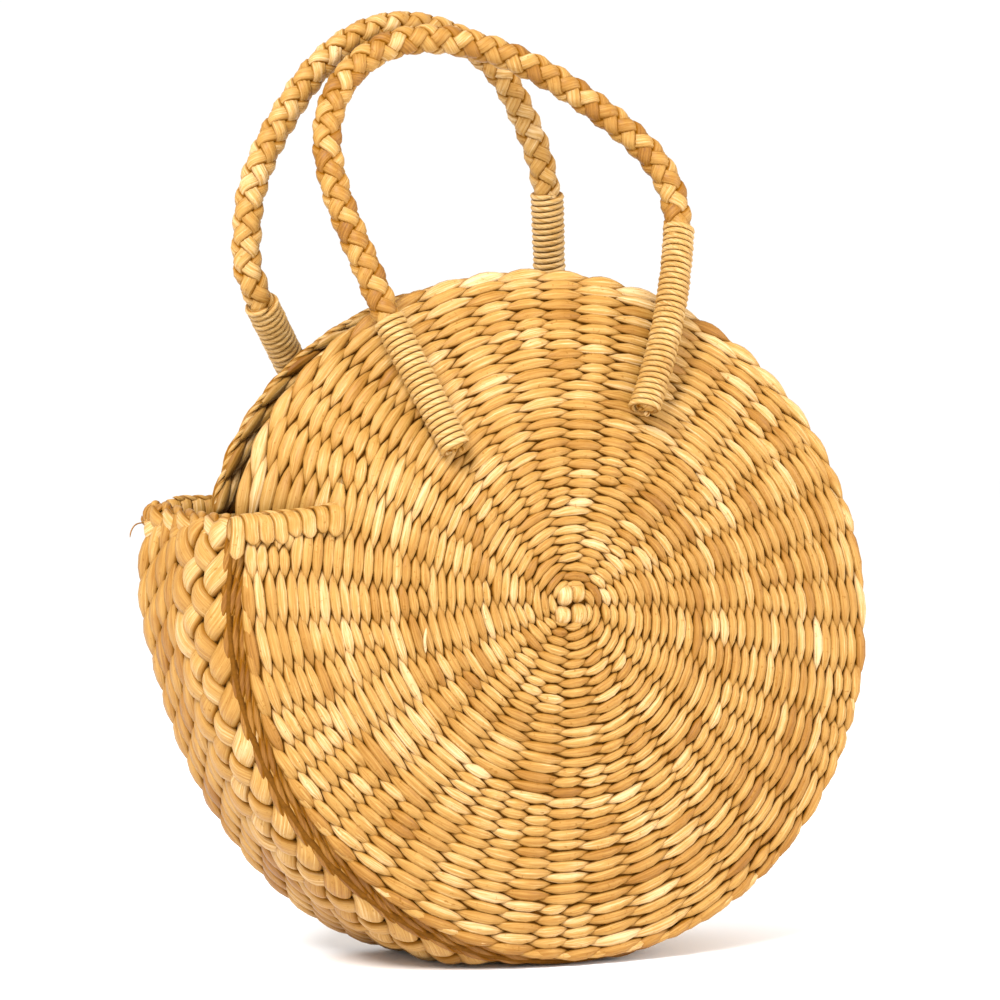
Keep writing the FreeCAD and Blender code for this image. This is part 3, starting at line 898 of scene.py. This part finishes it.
def gap_shade_material(colours):
    """Inner strands that show between the stitches, dark with painted shade of the weave's depth."""
    material, tree = bare_material("painted_weave_shade")
    place = node(tree, "TexCoord").outputs["Object"]
    fibres = noise(tree, place, Scale=500.0, Detail=3.0)
    ramp = node(tree, "ValToRGB", Fac=fibres)
    ramp.color_ramp.elements[0].color = (*(value * 0.6 for value in colours.gap), 1)
    ramp.color_ramp.elements[1].color = (*(min(value * 1.7, 1.0) for value in colours.gap), 1)
    bump = node(tree, "Bump", Strength=0.5, Distance=0.0005, Height=fibres)
    shader = node(
        tree,
        "BsdfPrincipled",
        Base_Color=ramp.outputs[0],
        Roughness=0.85,
        Normal=bump.outputs[0],
        Specular_IOR_Level=0.1,
    )
    node(tree, "OutputMaterial", Surface=shader.outputs[0])
    return material


MATERIALS = {}


def materials(context):
    """Finishes of the bag, made once."""
    colours = context.scene.bag_colours
    if not MATERIALS:
        MATERIALS["panel"] = straw_material("twined_straw", colours)
        # The gusset's and braid's straw is set darker than the panels': partly their own tone, partly painted
        # shade that tones down their sides lit by the key lamp
        MATERIALS["gusset"] = straw_material("gusset_straw", colours, lift=-0.10)
        MATERIALS["braid"] = straw_material("braid_ribbon", colours, lift=-0.03, fibres=40.0)
        MATERIALS["edge"] = straw_material("edge_ribbon", colours, lift=0.02, fibres=28.0)
        MATERIALS["rope"] = straw_material("handle_strand", colours, fibres=26.0, painted_crease_shade=1.0)
        MATERIALS["cord"] = straw_material(
            "wound_cord", colours, lift=0.03, fibres=9.0, wound=0.6, tint=colours.cord
        )
        MATERIALS["gap"] = gap_shade_material(colours)
    return MATERIALS


def bend_with_mouth(piece):
    """Bakes a piece's placement into its mesh."""
    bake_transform(piece)


class BAG_OT_panels(bpy.types.Operator):
    """Weave both domed panels of the bag"""

    bl_idname = "bag.panels"
    bl_label = "Woven panels"

    def execute(self, context):
        sizes = context.scene.bag_sizes
        finishes = materials(context)
        outer = stitch_template("outer_stitch", 8, 7)
        inner = stitch_template("inner_stitch", 6, 5)
        for name in SIDES:
            side = Side(sizes, name)
            rng = random.Random("panel " + name)
            piece = Piece()
            backing(piece, side)
            weave(piece, side, sizes, outer, 1.0, rng)
            weave(piece, side, sizes, inner, -1.0, rng)
            weave_eye(piece, side, sizes, rng)
            right, left = mouth_turns(side)
            edge_row(piece, side, sizes, outer, left, right + math.tau, False, rng)
            if name == "front":
                loose = [(side.at(x, z, lift, False), UP) for x, z, lift in LOOSE_STRAW]
                piece.ribbon(loose, half_width=0.0009, half_depth=0.0005, side=RIGHT, shade=0.95, step=0.001)
            panel = piece.finish(name + "_panel", (finishes["panel"], finishes["gap"]), "woven_panel")
            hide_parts(name + "_panel_lower", name + "_panel_upper")
            bend_with_mouth(panel)
        return {"FINISHED"}


class BAG_OT_borders(bpy.types.Operator):
    """Lay the border of slanted stitches along the free edge of each panel"""

    bl_idname = "bag.borders"
    bl_label = "Mouth borders"

    def execute(self, context):
        sizes = context.scene.bag_sizes
        finishes = materials(context)
        template = stitch_template("border_stitch", 10, 10)
        below_mouth = 0.03
        for name in SIDES:
            side = Side(sizes, name)
            rng = random.Random("border " + name)
            piece = Piece()
            right, left = mouth_turns(side)
            # The slit is at the left of the front panel, and so at the right of the back one
            if name == "front":
                left += below_mouth
            else:
                right -= below_mouth
            edge_row(piece, side, sizes, template, right, left, True, rng)
            if name == "back":
                edge_cord(piece, side, right, left)
            border = piece.finish(name + "_border", (finishes["panel"],), "bound_edge")
            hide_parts(name + "_mouth_border")
            bend_with_mouth(border)
        return {"FINISHED"}


class BAG_OT_slit_hems(bpy.types.Operator):
    """Wrap the lower lip of each slit in short upright ribbons"""

    bl_idname = "bag.slit_hems"
    bl_label = "Slit hems"

    def execute(self, context):
        sizes = context.scene.bag_sizes
        finishes = materials(context)
        for name in SIDES:
            side = Side(sizes, name)
            piece = Piece()
            self.ribbons(piece, side, random.Random("slit " + name))
            self.cord(piece, side)
            hem = piece.finish(name + "_slit_binding", (finishes["edge"],), "bound_edge")
            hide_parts(name + "_slit_hem")
            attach(hem, "bag_body")
        return {"FINISHED"}

    def lip_depth(self, side, x):
        """Y of the panel just below its lip."""
        below = 0.006
        return side.depth(x, side.mouth - below, False)

    def ribbons(self, piece, side, rng):
        """Ribbons folded over the lip side by side, of which the first hangs down farthest."""
        count = 8
        first_drop = 0.021
        thickness = 0.0014
        start = side.slit_start - LIP_OVERHANG[side.name]
        step = (side.slit_tip - start) / count
        out = BACK * side.facing
        for index in range(count):
            x = start + step * (index + 0.5)
            lean = rng.uniform(-0.0010, 0.0018)
            half = step * rng.uniform(0.54, 0.66)
            drop = first_drop if index == 0 else rng.uniform(0.012, 0.016)
            y = self.lip_depth(side, x)
            top = side.mouth - side.sag(x) + rng.uniform(0.0004, 0.0022)
            fold = (
                (x - lean, drop, 0.0044, UP),
                (x, 0.005, 0.0050, UP),
                (x + lean, 0.0, 0.0, -out),
                (x + lean, 0.006, -0.0046, -UP),
                (x + lean, 0.014, -0.0040, -UP),
            )
            points = [(Vector((across, y, top - down)) + out * lift, way) for across, down, lift, way in fold]
            piece.ribbon(points, half, thickness, RIGHT, shade=rng.uniform(0.45, 0.7), step=0.0012)

    def cord(self, piece, side):
        """Twisted cord along the top of the lip."""
        steps = 30
        inset = 0.0014
        rise = 0.0016
        start = side.slit_start + 0.002
        points = []
        for index in range(steps + 1):
            x = start + (side.slit_tip - start) * index / steps
            y = self.lip_depth(side, x) - inset * side.facing
            points.append(Vector((x, y, side.mouth - side.sag(x) + rise)))
        twist(piece, points, [UP] * len(points), "lip")


class BAG_OT_gusset(bpy.types.Operator):
    """Twine the rows of the gusset between the panels"""

    bl_idname = "bag.gusset"
    bl_label = "Gusset rows"

    def execute(self, context):
        sizes = context.scene.bag_sizes
        finishes = materials(context)
        ring = Ring(sizes)
        rng = random.Random("gusset")
        piece = Piece()
        self.sheet(piece, ring)
        outer = stitch_template("gusset_stitch", 8, 8)
        inner = stitch_template("lining_stitch", 6, 5)
        for number, y in enumerate(OUTER_ROWS):
            grow = TUCKED_ROW if number == 0 else OUTER_ROW
            shift = 0.4 * number
            self.row(piece, ring, outer, "outer", (y, grow), shift, rng)
        for number in range(INNER_COUNT):
            y = INNER_START + INNER_PITCH * number
            shift = 0.35 * (number % 2)
            self.row(piece, ring, inner, "inner", (y, INNER_ROW), shift, rng)
        for name in SIDES:
            side = Side(sizes, name)
            self.seam_stalks(piece, ring, side, rng)
            if name == "back":
                self.seam_stitches(piece, ring, side, outer, rng)
        strip = piece.finish("gusset_rows", (finishes["gusset"], finishes["gap"]), "gusset_weave")
        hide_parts("gusset_strip")
        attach(strip, "bag_body")
        return {"FINISHED"}

    def sheet(self, piece, ring):
        """Inner strands of the gusset under its stitches."""
        sink = 0.0035
        rest = 0.0040
        thickness = 0.003
        bm = piece.bm
        verts = bmesh.ops.create_grid(bm, x_segments=90, y_segments=6, size=1.0)["verts"]
        for vert in verts:
            vert.co = ring.at((vert.co.x + 1) / 2 * ring.run, vert.co.y * ring.half, -sink, rest)
        bmesh.ops.recalc_face_normals(bm, faces=bm.faces)
        bmesh.ops.solidify(bm, geom=bm.faces[:], thickness=thickness)
        # The sheet takes the second finish, dark as painted shade deep between the stitches
        for face in bm.faces:
            face.material_index = 1
            face.smooth = True

    def seam_stalks(self, piece, ring, side, rng):
        """Twisted stalks in the darkest shades between the gusset's edge and the rim of a panel."""
        steps = 240
        sink = 0.0012
        inset = 0.0030
        for share in (0.1, 0.4, 0.7):
            points = []
            phase = rng.uniform(0, 6)
            for index in range(steps + 1):
                edge, rim = seam_edges(ring, side, ring.run * index / steps)
                sway = 0.06 * math.sin(index * 0.14 + phase) + 0.04 * math.sin(index * 0.38 + phase)
                point = edge.lerp(rim, share + sway)
                points.append(point - ring.out(point) * sink - BACK * (side.facing * inset))
            ups = [BACK * side.facing + ring.out(point) for point in points]
            twist(piece, points, ups, "seam")

    def seam_stitches(self, piece, ring, side, template, rng):
        """Stitches over the stalks, which join the gusset's edge to the rim of a panel."""
        stitch_run = 0.0205
        least_half_width = 0.0020
        count = int(ring.run / stitch_run)
        for index in range(count):
            spot = ring.run * (index + 0.3) / count
            half = ring.run / count * rng.uniform(0.66, 0.74)

            def place(co):
                edge, rim = seam_edges(ring, side, spot + co.z * half)
                wide = max(0.42, least_half_width / (rim - edge).length)
                point = edge.lerp(rim, 0.55 + wide * co.x - 0.12 * co.z)
                lift = 0.0016 + 0.0024 * co.y - 0.0018 * co.z * co.z
                return point + BACK * (side.facing * lift)

            piece.lay(template, place, pick_shade(rng))

    def row(self, piece, ring, template, kind, line, shift, rng):
        """One row of slanted stitches along the gusset, on a line at a depth and a height."""
        bulge = 0.0010
        depth = 0.0026
        y, grow = line
        face = GUSSET_STITCHES[kind]["face"]
        run = GUSSET_STITCHES[kind]["run"]
        count = int(ring.run / run)
        for index in range(-1, count + 1):
            spot = clamp(ring.run * (index + 0.5 + shift) / count, 0.0, ring.run)
            half = run * rng.uniform(0.76, 0.84)
            tilt = rng.uniform(0.0020, 0.0034)
            half_width = GUSSET_STITCHES[kind]["half_width"] * rng.uniform(0.92, 1.08)

            def place(co):
                along = clamp(spot + co.z * half, 0.0, ring.run)
                across = y + co.x * half_width + co.z * tilt
                lift = bulge * (1 - co.z * co.z) + co.y * depth
                return ring.at(along, across, grow + face * lift, rest=0.0028 - face * co.y * 0.0022)

            # Shades keep closer to the middle than on the panels
            piece.lay(template, place, 0.22 + 0.6 * pick_shade(rng))


def over_under(phase):
    """Height of a ribbon in a five-ribbon plait, from -1 under to 1 over, along one repeat."""
    knots = ((-0.3, 1), (-0.1, -1), (0.1, 1), (0.3, -1), (0.7, 1), (0.9, -1), (1.1, 1), (1.3, -1), (1.7, 1))
    turn = (phase / math.pi + 0.3) % 2.0 - 0.3
    for (low, low_height), (high, high_height) in zip(knots, knots[1:]):
        if turn <= high:
            share = (1 - math.cos(math.pi * (turn - low) / (high - low))) / 2
            return low_height + (high_height - low_height) * share
    return 1.0


class BAG_OT_braid(bpy.types.Operator):
    """Plait the wide flat braid along the front seam of the gusset"""

    bl_idname = "bag.braid"
    bl_label = "Flat braid"

    def execute(self, context):
        sizes = context.scene.bag_sizes
        finishes = materials(context)
        ring = Ring(sizes)
        side = Side(sizes, "front")
        rng = random.Random("braid")
        piece = Piece()
        ribbons = 5
        for number in range(ribbons):
            stations = self.ribbon(sizes, ring, side, number / ribbons)
            shade = 0.46 + 0.07 * number + rng.uniform(-0.04, 0.04)
            piece.sweep(stations, shade, around=14, map_length=0.03)
        braid = piece.finish("gusset_plait", (finishes["braid"],), "flat_braid")
        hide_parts("gusset_braid")
        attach(braid, "bag_body")
        return {"FINISHED"}

    def ribbon(self, sizes, ring, side, start):
        """Stations of a ribbon that sways from edge to edge and rolls round the seam where it gapes."""
        steps = 330
        full_gape = 0.008
        roll_radius = 0.019
        lift_middle = 0.0014
        lift_sway = 0.0026
        points = []
        ups = []
        heights = []
        for index in range(steps + 1):
            along = ring.run * index / steps
            phase = math.tau * (along / sizes.braid_repeat + start)
            sway = sizes.braid_shift + sizes.braid_sway * (math.sin(phase) - 0.04 * math.sin(3 * phase))
            height = over_under(phase)
            edge, rim = seam_edges(ring, side, along)
            gape = clamp((edge - rim).dot(ring.out(edge)) / full_gape, 0.0, 1.0)
            reach = max(-sway, 0.0)
            bend = gape * reach / roll_radius
            drop = 0.5 * reach * math.sin(bend)
            lift = lift_middle + lift_sway * height
            y = sizes.braid_middle - gape * sizes.braid_lap + max(sway, 0.0)
            y -= reach * math.cos(0.5 * bend)
            rest = 0.0052 - 0.0012 * height + 0.9 * drop
            point = ring.at(along, y, lift * math.cos(bend) - drop, rest)
            point.y -= lift * math.sin(bend)
            points.append(point)
            ups.append(ring.out(point) * math.cos(bend) - BACK * math.sin(bend))
            heights.append(height)
        # Hollow value where a ribbon passes under the others, which the material darkens as painted shade
        hollows = [max(-height, 0.0) for height in heights]
        full = tube(points, ups, half_width=0.0080, half_depth=0.0034, taper=4, hollows=hollows)
        stations = []
        for (middle, across, up, half_width, half_depth, hollow), height in zip(full, heights):
            slim = 0.78 + 0.22 * height
            stations.append((middle, across, up, half_width * slim, half_depth, hollow))
        return stations


class BAG_OT_gusset_hems(bpy.types.Operator):
    """Close the gusset's ends at the mouth with a plait, a twisted rim and a wrapped corner"""

    bl_idname = "bag.gusset_hems"
    bl_label = "Gusset hems"

    def execute(self, context):
        sizes = context.scene.bag_sizes
        finishes = materials(context)
        ring = Ring(sizes)
        for hand, along, out in (("left", 0.0, -RIGHT), ("right", ring.run, RIGHT)):
            rng = random.Random("hem " + hand)
            piece = Piece()
            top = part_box("gusset_hem_" + hand)[1].z
            self.plait(piece, ring, along, out, top, rng)
            self.rim(piece, ring, along, top)
            self.turned_in(piece, ring, along, out, top, rng)
            self.corner(piece, ring, along, out, top, rng)
            self.loose_fibre(piece, ring, along, out, top)
            hem = piece.finish("gusset_fold_" + hand, (finishes["edge"],), "bound_edge")
            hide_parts("gusset_hem_" + hand)
            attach(hem, "bag_body")
        return {"FINISHED"}

    def plait(self, piece, ring, along, out, top, rng):
        """Three ribbons plaited from front to back over the ends of the gusset's rows."""
        steps = 60
        front = -0.0480
        width = 0.092
        repeats = 2.1
        tuck_start = -0.036
        middle_drop = 0.0078
        sway = 0.0046
        half_width = 0.0052
        half_depth = 0.0024
        for number in range(3):
            points = []
            hollows = []
            for index in range(steps + 1):
                y = front + width * index / steps
                phase = math.tau * (index / steps * repeats + number / 3)
                height = math.sin(2 * phase)
                base = ring.at(along, y, -0.002)
                tuck = max(tuck_start - y, 0.0)
                level = top - ring.hem_drop(y) - middle_drop + sway * math.sin(phase)
                lift = 0.0040 + 0.0016 * height - 0.8 * tuck
                points.append(Vector((base.x, y, level)) + out * lift)
                # Hollow value where the ribbon passes under, which the material darkens as painted shade
                hollows.append(max(-height, 0.0))
            ups = [out] * len(points)
            stations = tube(points, ups, half_width, half_depth, taper=3, hollows=hollows)
            piece.sweep(stations, rng.uniform(0.4, 0.75), around=10, map_length=0.026)

    def rim(self, piece, ring, along, top):
        """Twisted strands on top of the end, a little lower in the middle."""
        steps = 60
        front = -0.0445
        width = 0.089
        inset = 0.0030
        points = []
        for index in range(steps + 1):
            share = index / steps
            y = front + width * share
            base = ring.at(along, y, 0.0)
            dip = 0.0016 * math.sin(math.pi * share) - 0.0030 * max(share - 0.5, 0.0)
            level = top - ring.hem_drop(y) - 0.0006 - dip
            points.append(Vector((base.x - ring.out(base).x * inset, y, level)))
        twist(piece, points, [UP] * len(points), "hem")

    def turned_in(self, piece, ring, along, out, top, rng):
        """Ribbons turned in over the end, which hang down inside it."""
        count = 8
        front = -0.038
        width = 0.076
        half_width = 0.0062
        half_depth = 0.0014
        for index in range(count):
            y = front + width * index / (count - 1)
            base = ring.at(along, y, 0.0)
            slant = rng.uniform(-0.003, 0.003)
            level = top - ring.hem_drop(y)
            points = [
                (Vector((base.x, y, level - 0.002)), -out),
                (Vector((base.x, y, level - 0.009)) - out * 0.0068, -UP),
                (Vector((base.x, y + slant, level - 0.026)) - out * 0.0082, -UP),
            ]
            piece.ribbon(points, half_width, half_depth, BACK, shade=rng.uniform(0.1, 0.5), step=0.0014)

    def corner(self, piece, ring, along, out, top, rng):
        """Turns of ribbon round the back corner of the end."""
        turns = 4
        per_turn = 18
        start = 0.0300
        pitch = 0.0040
        middle_drop = 0.0040
        points = []
        ups = []
        for index in range(turns * per_turn + 1):
            turn = math.tau * index / per_turn
            y = start + pitch * index / per_turn
            base = ring.at(along, y, -0.003)
            spoke = out * (0.0058 * math.cos(turn)) + UP * (0.0060 * math.sin(turn))
            middle = Vector((base.x, y, top - ring.hem_drop(y) - middle_drop)) + out * 0.0010
            points.append(middle + spoke)
            ups.append(spoke)
        stations = tube(points, ups, half_width=0.0024, half_depth=0.0013)
        piece.sweep(stations, rng.uniform(0.15, 0.35), map_length=0.024)

    def loose_fibre(self, piece, ring, along, out, top):
        """Loose fibre that hangs from the back corner."""
        y = 0.0435
        base = ring.at(along, y, -0.003)
        start = Vector((base.x, y, top - 0.011)) + out * 0.006
        fibre = [
            (start, out),
            (start + out * 0.0060 - UP * 0.0015, (out - UP).normalized()),
            (start + out * 0.0085 - UP * 0.0085, -UP),
        ]
        piece.ribbon(fibre, half_width=0.0005, half_depth=0.0004, side=BACK, shade=0.3, step=0.0008)


class Handle(Side):
    """One handle on its panel: two sewn ends and a rope loop, worked out as in the part's source."""

    slit_length = 0.052
    half_panel = 0.0035
    winding_radius = 0.0085
    seat_gap = 0.0003
    neck_radius = 0.0036
    rope_radius = 0.0085
    rope_taper = 0.008
    lead = neck_radius + seat_gap + rope_taper
    top_gap = 0.003
    samples = 12

    def __init__(self, sizes, name):
        super().__init__(sizes, name)
        self.slit_tip = self.shift + self.left_end(self.mouth - self.height) + self.slit_length
        self.ends = {hand: self.sewn_end(*ENDS[name][hand]) for hand in HANDS}
        self.loop = self.loop_points()

    def disc_point(self, angle, share):
        """X and Z at an angle round the disc and a share of its radius there."""
        turn = math.radians(angle)
        radius = share * self.edge(turn)
        return self.shift + radius * math.cos(turn), self.height + radius * math.sin(turn)

    def outer(self, x, z):
        """Y of the panel's outer face."""
        return self.depth(x, z, z > self.mouth) + self.facing * self.half_panel

    def sewn_end(self, foot_angle, foot_share, top_angle, top_share):
        """Foot and top of an end, which clears the panel as far as the rim."""
        foot_x, foot_z = self.disc_point(foot_angle, foot_share)
        top_x, top_z = self.disc_point(top_angle, top_share)
        foot_y = self.outer(foot_x, foot_z)
        on_panel = min(1.0, (1 - foot_share) / (top_share - foot_share))
        slopes = []
        for index in range(1, self.samples + 1):
            share = on_panel * index / self.samples
            y = self.outer(foot_x + (top_x - foot_x) * share, foot_z + (top_z - foot_z) * share)
            slopes.append(self.facing * (y - foot_y) / share)
        run = Vector((top_x - foot_x, self.facing * max(slopes), top_z - foot_z))
        out = square_to(run.normalized(), BACK * self.facing)
        foot = Vector((foot_x, foot_y, foot_z)) + out * (self.winding_radius + self.seat_gap)
        return foot, foot + run

    def end_point(self, hand, share):
        """Point on the middle line of a sewn end, from its foot to its top."""
        foot, top = self.ends[hand]
        aside = square_to((top - foot).normalized(), RIGHT)
        return foot.lerp(top, share) + aside * (BOWS[self.name][hand] * 4 * share * (1 - share))

    def loop_points(self):
        """Points of the loop and its direction there, in the leaning plane of both ends and the top."""
        left = self.ends["left"][1]
        right = self.ends["right"][1]
        corners = [(*self.disc_point(angle, share), slope) for angle, share, slope in LOOPS[self.name]]
        top_x, top_z, _ = max(corners, key=lambda corner: corner[1])
        top = Vector((top_x, self.facing * (self.rope_radius + self.top_gap / 2), top_z))
        normal = (right - left).cross(top - left).normalized()

        def in_plane(x, z):
            return -(normal.x * x + normal.z * z) / normal.y

        points = []
        for x, z, slope in corners:
            way_x = math.cos(math.radians(slope))
            way_z = math.sin(math.radians(slope))
            way = Vector((way_x, in_plane(way_x, way_z), way_z)).normalized()
            points.append((Vector((x, left.y + in_plane(x - left.x, z - left.z), z)), way))
        first = self.leaving("left", points[0][0], normal)
        last = self.leaving("right", points[-1][0], normal)
        return [(left + first * self.lead, first), *points, (right + last * self.lead, -last)]

    def leaving(self, hand, next_point, normal):
        """Direction in which the rope leaves an end: between the end's own line and the loop."""
        foot, top = self.ends[hand]
        return square_to(normal, (top - foot).normalized() + (next_point - top).normalized())


class BAG_OT_handles(bpy.types.Operator):
    """Braid the two rope handles and tuck their ends under the windings"""

    bl_idname = "bag.handles"
    bl_label = "Rope handles"

    def execute(self, context):
        sizes = context.scene.bag_sizes
        finishes = materials(context)
        for name in SIDES:
            rng = random.Random("handle " + name)
            piece = Piece()
            handle = Handle(sizes, name)
            self.strands(piece, sizes, self.route(handle), rng)
            for hand in HANDS:
                self.core(piece, handle, hand, rng)
            rope = piece.finish(name + "_rope", (finishes["rope"], finishes["gap"]), "braided_rope")
            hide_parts(name + "_handle", name + "_left_handle_end", name + "_right_handle_end")
            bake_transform(rope)
        return {"FINISHED"}

    def route(self, handle):
        """Middle line of a rope, which starts and ends inside its windings."""
        tucked = 0.78
        step = 0.0016
        points = list(handle.loop)
        for hand, place, turn in (("left", 0, 1.0), ("right", len(points) + 1, -1.0)):
            start = handle.end_point(hand, tucked)
            way = (handle.end_point(hand, 1.0) - start).normalized()
            points.insert(place, (start, way * turn))
        return along_bezier(points, step)

    def strands(self, piece, sizes, line, rng):
        """Three strands each way round the rope, over and under each other, on a plain core."""
        core = 0.0046
        each_way = 3
        half_width = 0.0043
        half_depth = 0.0024
        lay_radius = 0.0048
        over = 0.0012
        slim_run = 0.024
        last = len(line) - 1
        across = BACK
        turned = []
        for index in range(len(line)):
            across = square_to(heading(line, index), across)
            turned.append(across)
        step = (line[1] - line[0]).length
        # The core takes the second finish, dark as painted shade between the strands
        piece.sweep(tube(line, turned, core, core), 0.0, material=1)
        for spin in (1.0, -1.0):
            for number in range(each_way):
                points = []
                ups = []
                hollows = []
                for index, point in enumerate(line):
                    across = turned[index]
                    aside = heading(line, index).cross(across)
                    lay = math.tau * index * step / sizes.rope_turn
                    turn = spin * lay + math.tau * number / each_way
                    height = spin * math.cos(each_way * lay)
                    slim = 0.68 + 0.32 * min(min(index, last - index) * step / slim_run, 1.0)
                    out = across * math.cos(turn) + aside * math.sin(turn)
                    points.append(point + out * ((lay_radius + over * height) * slim))
                    ups.append(out)
                    # Hollow value highest where the strand passes under, which the material darkens as
                    # painted shade
                    hollows.append(0.5 - 0.5 * height)
                stations = tube(points, ups, half_width, half_depth, taper=3, hollows=hollows)
                piece.sweep(stations, pick_shade(rng))

    def core(self, piece, handle, hand, rng):
        """Sewn end of the rope inside its winding, with short tails at the foot."""
        radius = 0.0062
        step = 0.0040
        covered = 0.84
        run = (handle.end_point(hand, 1.0) - handle.end_point(hand, 0.0)).length
        steps = [-0.0012, 0.0002, 0.0020] + [step * index for index in range(1, int(covered * run / step))]
        points = [handle.end_point(hand, distance / run) for distance in steps]
        piece.sweep(tube(points, [BACK] * len(points), radius, radius), 0.45, around=12)
        way = (points[1] - points[0]).normalized()
        out = BACK.cross(way).normalized()
        for aside, tail in ((0.0026, 0.0034), (-0.0014, 0.0022)):
            foot = points[1] + out * aside
            stub = [foot - way * (tail * (1 - index / 6)) for index in range(7)]
            stations = tube(stub, [out] * len(stub), half_width=0.0019, half_depth=0.0016)
            piece.sweep(stations, rng.uniform(0.4, 0.8))


class BAG_OT_windings(bpy.types.Operator):
    """Wind the cord round the sewn ends of the handles"""

    bl_idname = "bag.windings"
    bl_label = "Cord windings"

    def execute(self, context):
        sizes = context.scene.bag_sizes
        finishes = materials(context)
        for name in SIDES:
            handle = Handle(sizes, name)
            for hand in HANDS:
                rng = random.Random("winding " + name + hand)
                piece = Piece()
                self.wind(piece, handle, hand, sizes, rng)
                winding = piece.finish(name + "_" + hand + "_winding", (finishes["cord"],), "winding_cord")
                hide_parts(name + "_" + hand + "_handle_wrap")
                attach(winding, name + "_flap")
        return {"FINISHED"}

    def wind(self, piece, handle, hand, sizes, rng):
        """One cord in close turns from the foot of a sewn end to its top."""
        top_gap = 0.0035
        per_turn = 18
        uneven = 0.00022
        foot, top = handle.ends[hand]
        way = (top - foot).normalized()
        out = square_to(way, BACK * handle.facing)
        aside = way.cross(out)
        run = (top - foot).length
        turns = int((run - top_gap) / sizes.cord_pitch)
        girth = sizes.front_winding if handle.name == "front" else sizes.back_winding
        points = []
        ups = []
        for index in range(turns * per_turn + 1):
            share = index / (turns * per_turn)
            turn = math.tau * index / per_turn
            if index % per_turn == 0:
                drift = rng.uniform(-uneven, uneven)
            radius = girth + 0.0002 * share + drift
            slant = 0.0005 * math.sin(turn + 0.6)
            spoke = out * -math.cos(turn) + aside * -math.sin(turn)
            middle = handle.end_point(hand, share * (1 - top_gap / run))
            points.append(middle + way * slant + spoke * radius)
            ups.append(spoke)
        stations = tube(points, ups, half_width=0.00168, half_depth=0.0017)
        piece.sweep(stations, rng.uniform(0.5, 0.6), map_length=0.012)


def aim_at(thing, place, aim):
    """Puts a lamp or the camera in its place and turns it to its aim."""
    thing.location = place
    thing.rotation_euler = (Vector(aim) - Vector(place)).to_track_quat("-Z", "Y").to_euler()
    bpy.context.scene.collection.objects.link(thing)


def area_light(name, place, aim, size, power):
    """Round soft lamp."""
    lamp = bpy.data.lights.new(name, "AREA")
    lamp.shape = "DISK"
    lamp.size = size
    lamp.energy = power
    aim_at(bpy.data.objects.new(name, lamp), place, aim)


class BAG_OT_stage(bpy.types.Operator):
    """Set up the pale floor, the soft light and the camera"""

    bl_idname = "bag.stage"
    bl_label = "Stage"

    def execute(self, context):
        scene = context.scene
        self.floor(scene)
        world = bpy.data.worlds.new("studio")
        world.use_nodes = True
        background = world.node_tree.nodes["Background"].inputs
        background["Color"].default_value = (1.0, 1.0, 1.0, 1)
        background["Strength"].default_value = 1.03
        scene.world = world
        bag_middle = (0.0, 0.0, 0.22)
        area_light("key", place=(-1.9, -1.7, 2.5), aim=bag_middle, size=1.7, power=224.0)
        area_light("fill", place=(1.8, -1.6, 0.9), aim=bag_middle, size=1.4, power=46.0)
        scene.view_settings.view_transform = "Standard"
        lens = bpy.data.cameras.new("camera")
        lens.lens = CAMERA_LENS
        lens.sensor_width = 36.0
        lens.clip_end = 200.0
        camera = bpy.data.objects.new("camera", lens)
        aim_at(camera, CAMERA_PLACE, CAMERA_AIM)
        scene.camera = camera
        return {"FINISHED"}

    def floor(self, scene):
        """Wide pale floor under the bag."""
        bm = bmesh.new()
        bmesh.ops.create_grid(bm, x_segments=1, y_segments=1, size=60.0)
        mesh = bpy.data.meshes.new("floor")
        bm.to_mesh(mesh)
        bm.free()
        floor = bpy.data.objects.new("floor", mesh)
        scene.collection.objects.link(floor)
        finish = bpy.data.materials.new("pale_floor")
        finish.use_nodes = True
        surface = finish.node_tree.nodes["Principled BSDF"].inputs
        surface["Base Color"].default_value = (*scene.bag_colours.floor, 1)
        surface["Roughness"].default_value = 0.9
        surface["Specular IOR Level"].default_value = 0.0
        mesh.materials.append(finish)


class BAG_PT_sidebar(bpy.types.Panel):
    """Pieces, sizes and colours of the bag"""

    bl_label = "Circle bag"
    bl_idname = "BAG_PT_sidebar"
    bl_space_type = "VIEW_3D"
    bl_region_type = "UI"
    bl_category = "Circle Bag"

    def draw(self, context):
        for operator in OPERATORS:
            self.layout.operator(operator.bl_idname)
        for group in (context.scene.bag_sizes, context.scene.bag_colours):
            box = self.layout.box()
            for name in group.bl_rna.properties.keys():
                if name not in ("rna_type", "name"):
                    box.prop(group, name)


OPERATORS = (
    BAG_OT_stage,
    BAG_OT_panels,
    BAG_OT_borders,
    BAG_OT_slit_hems,
    BAG_OT_gusset,
    BAG_OT_braid,
    BAG_OT_gusset_hems,
    BAG_OT_handles,
    BAG_OT_windings,
)
CLASSES = (BagSizes, BagColours) + OPERATORS + (BAG_PT_sidebar,)


def register():
    for cls in CLASSES:
        bpy.utils.register_class(cls)
    bpy.types.Scene.bag_sizes = PointerProperty(type=BagSizes)
    bpy.types.Scene.bag_colours = PointerProperty(type=BagColours)


def unregister():
    del bpy.types.Scene.bag_colours
    del bpy.types.Scene.bag_sizes
    for cls in reversed(CLASSES):
        bpy.utils.unregister_class(cls)


def main():
    register()
    bpy.ops.bag.stage()
    bpy.ops.bag.panels()
    bpy.ops.bag.borders()
    bpy.ops.bag.slit_hems()
    bpy.ops.bag.gusset()
    bpy.ops.bag.braid()
    bpy.ops.bag.gusset_hems()
    bpy.ops.bag.handles()
    bpy.ops.bag.windings()


if __name__ == "__main__":
    main()
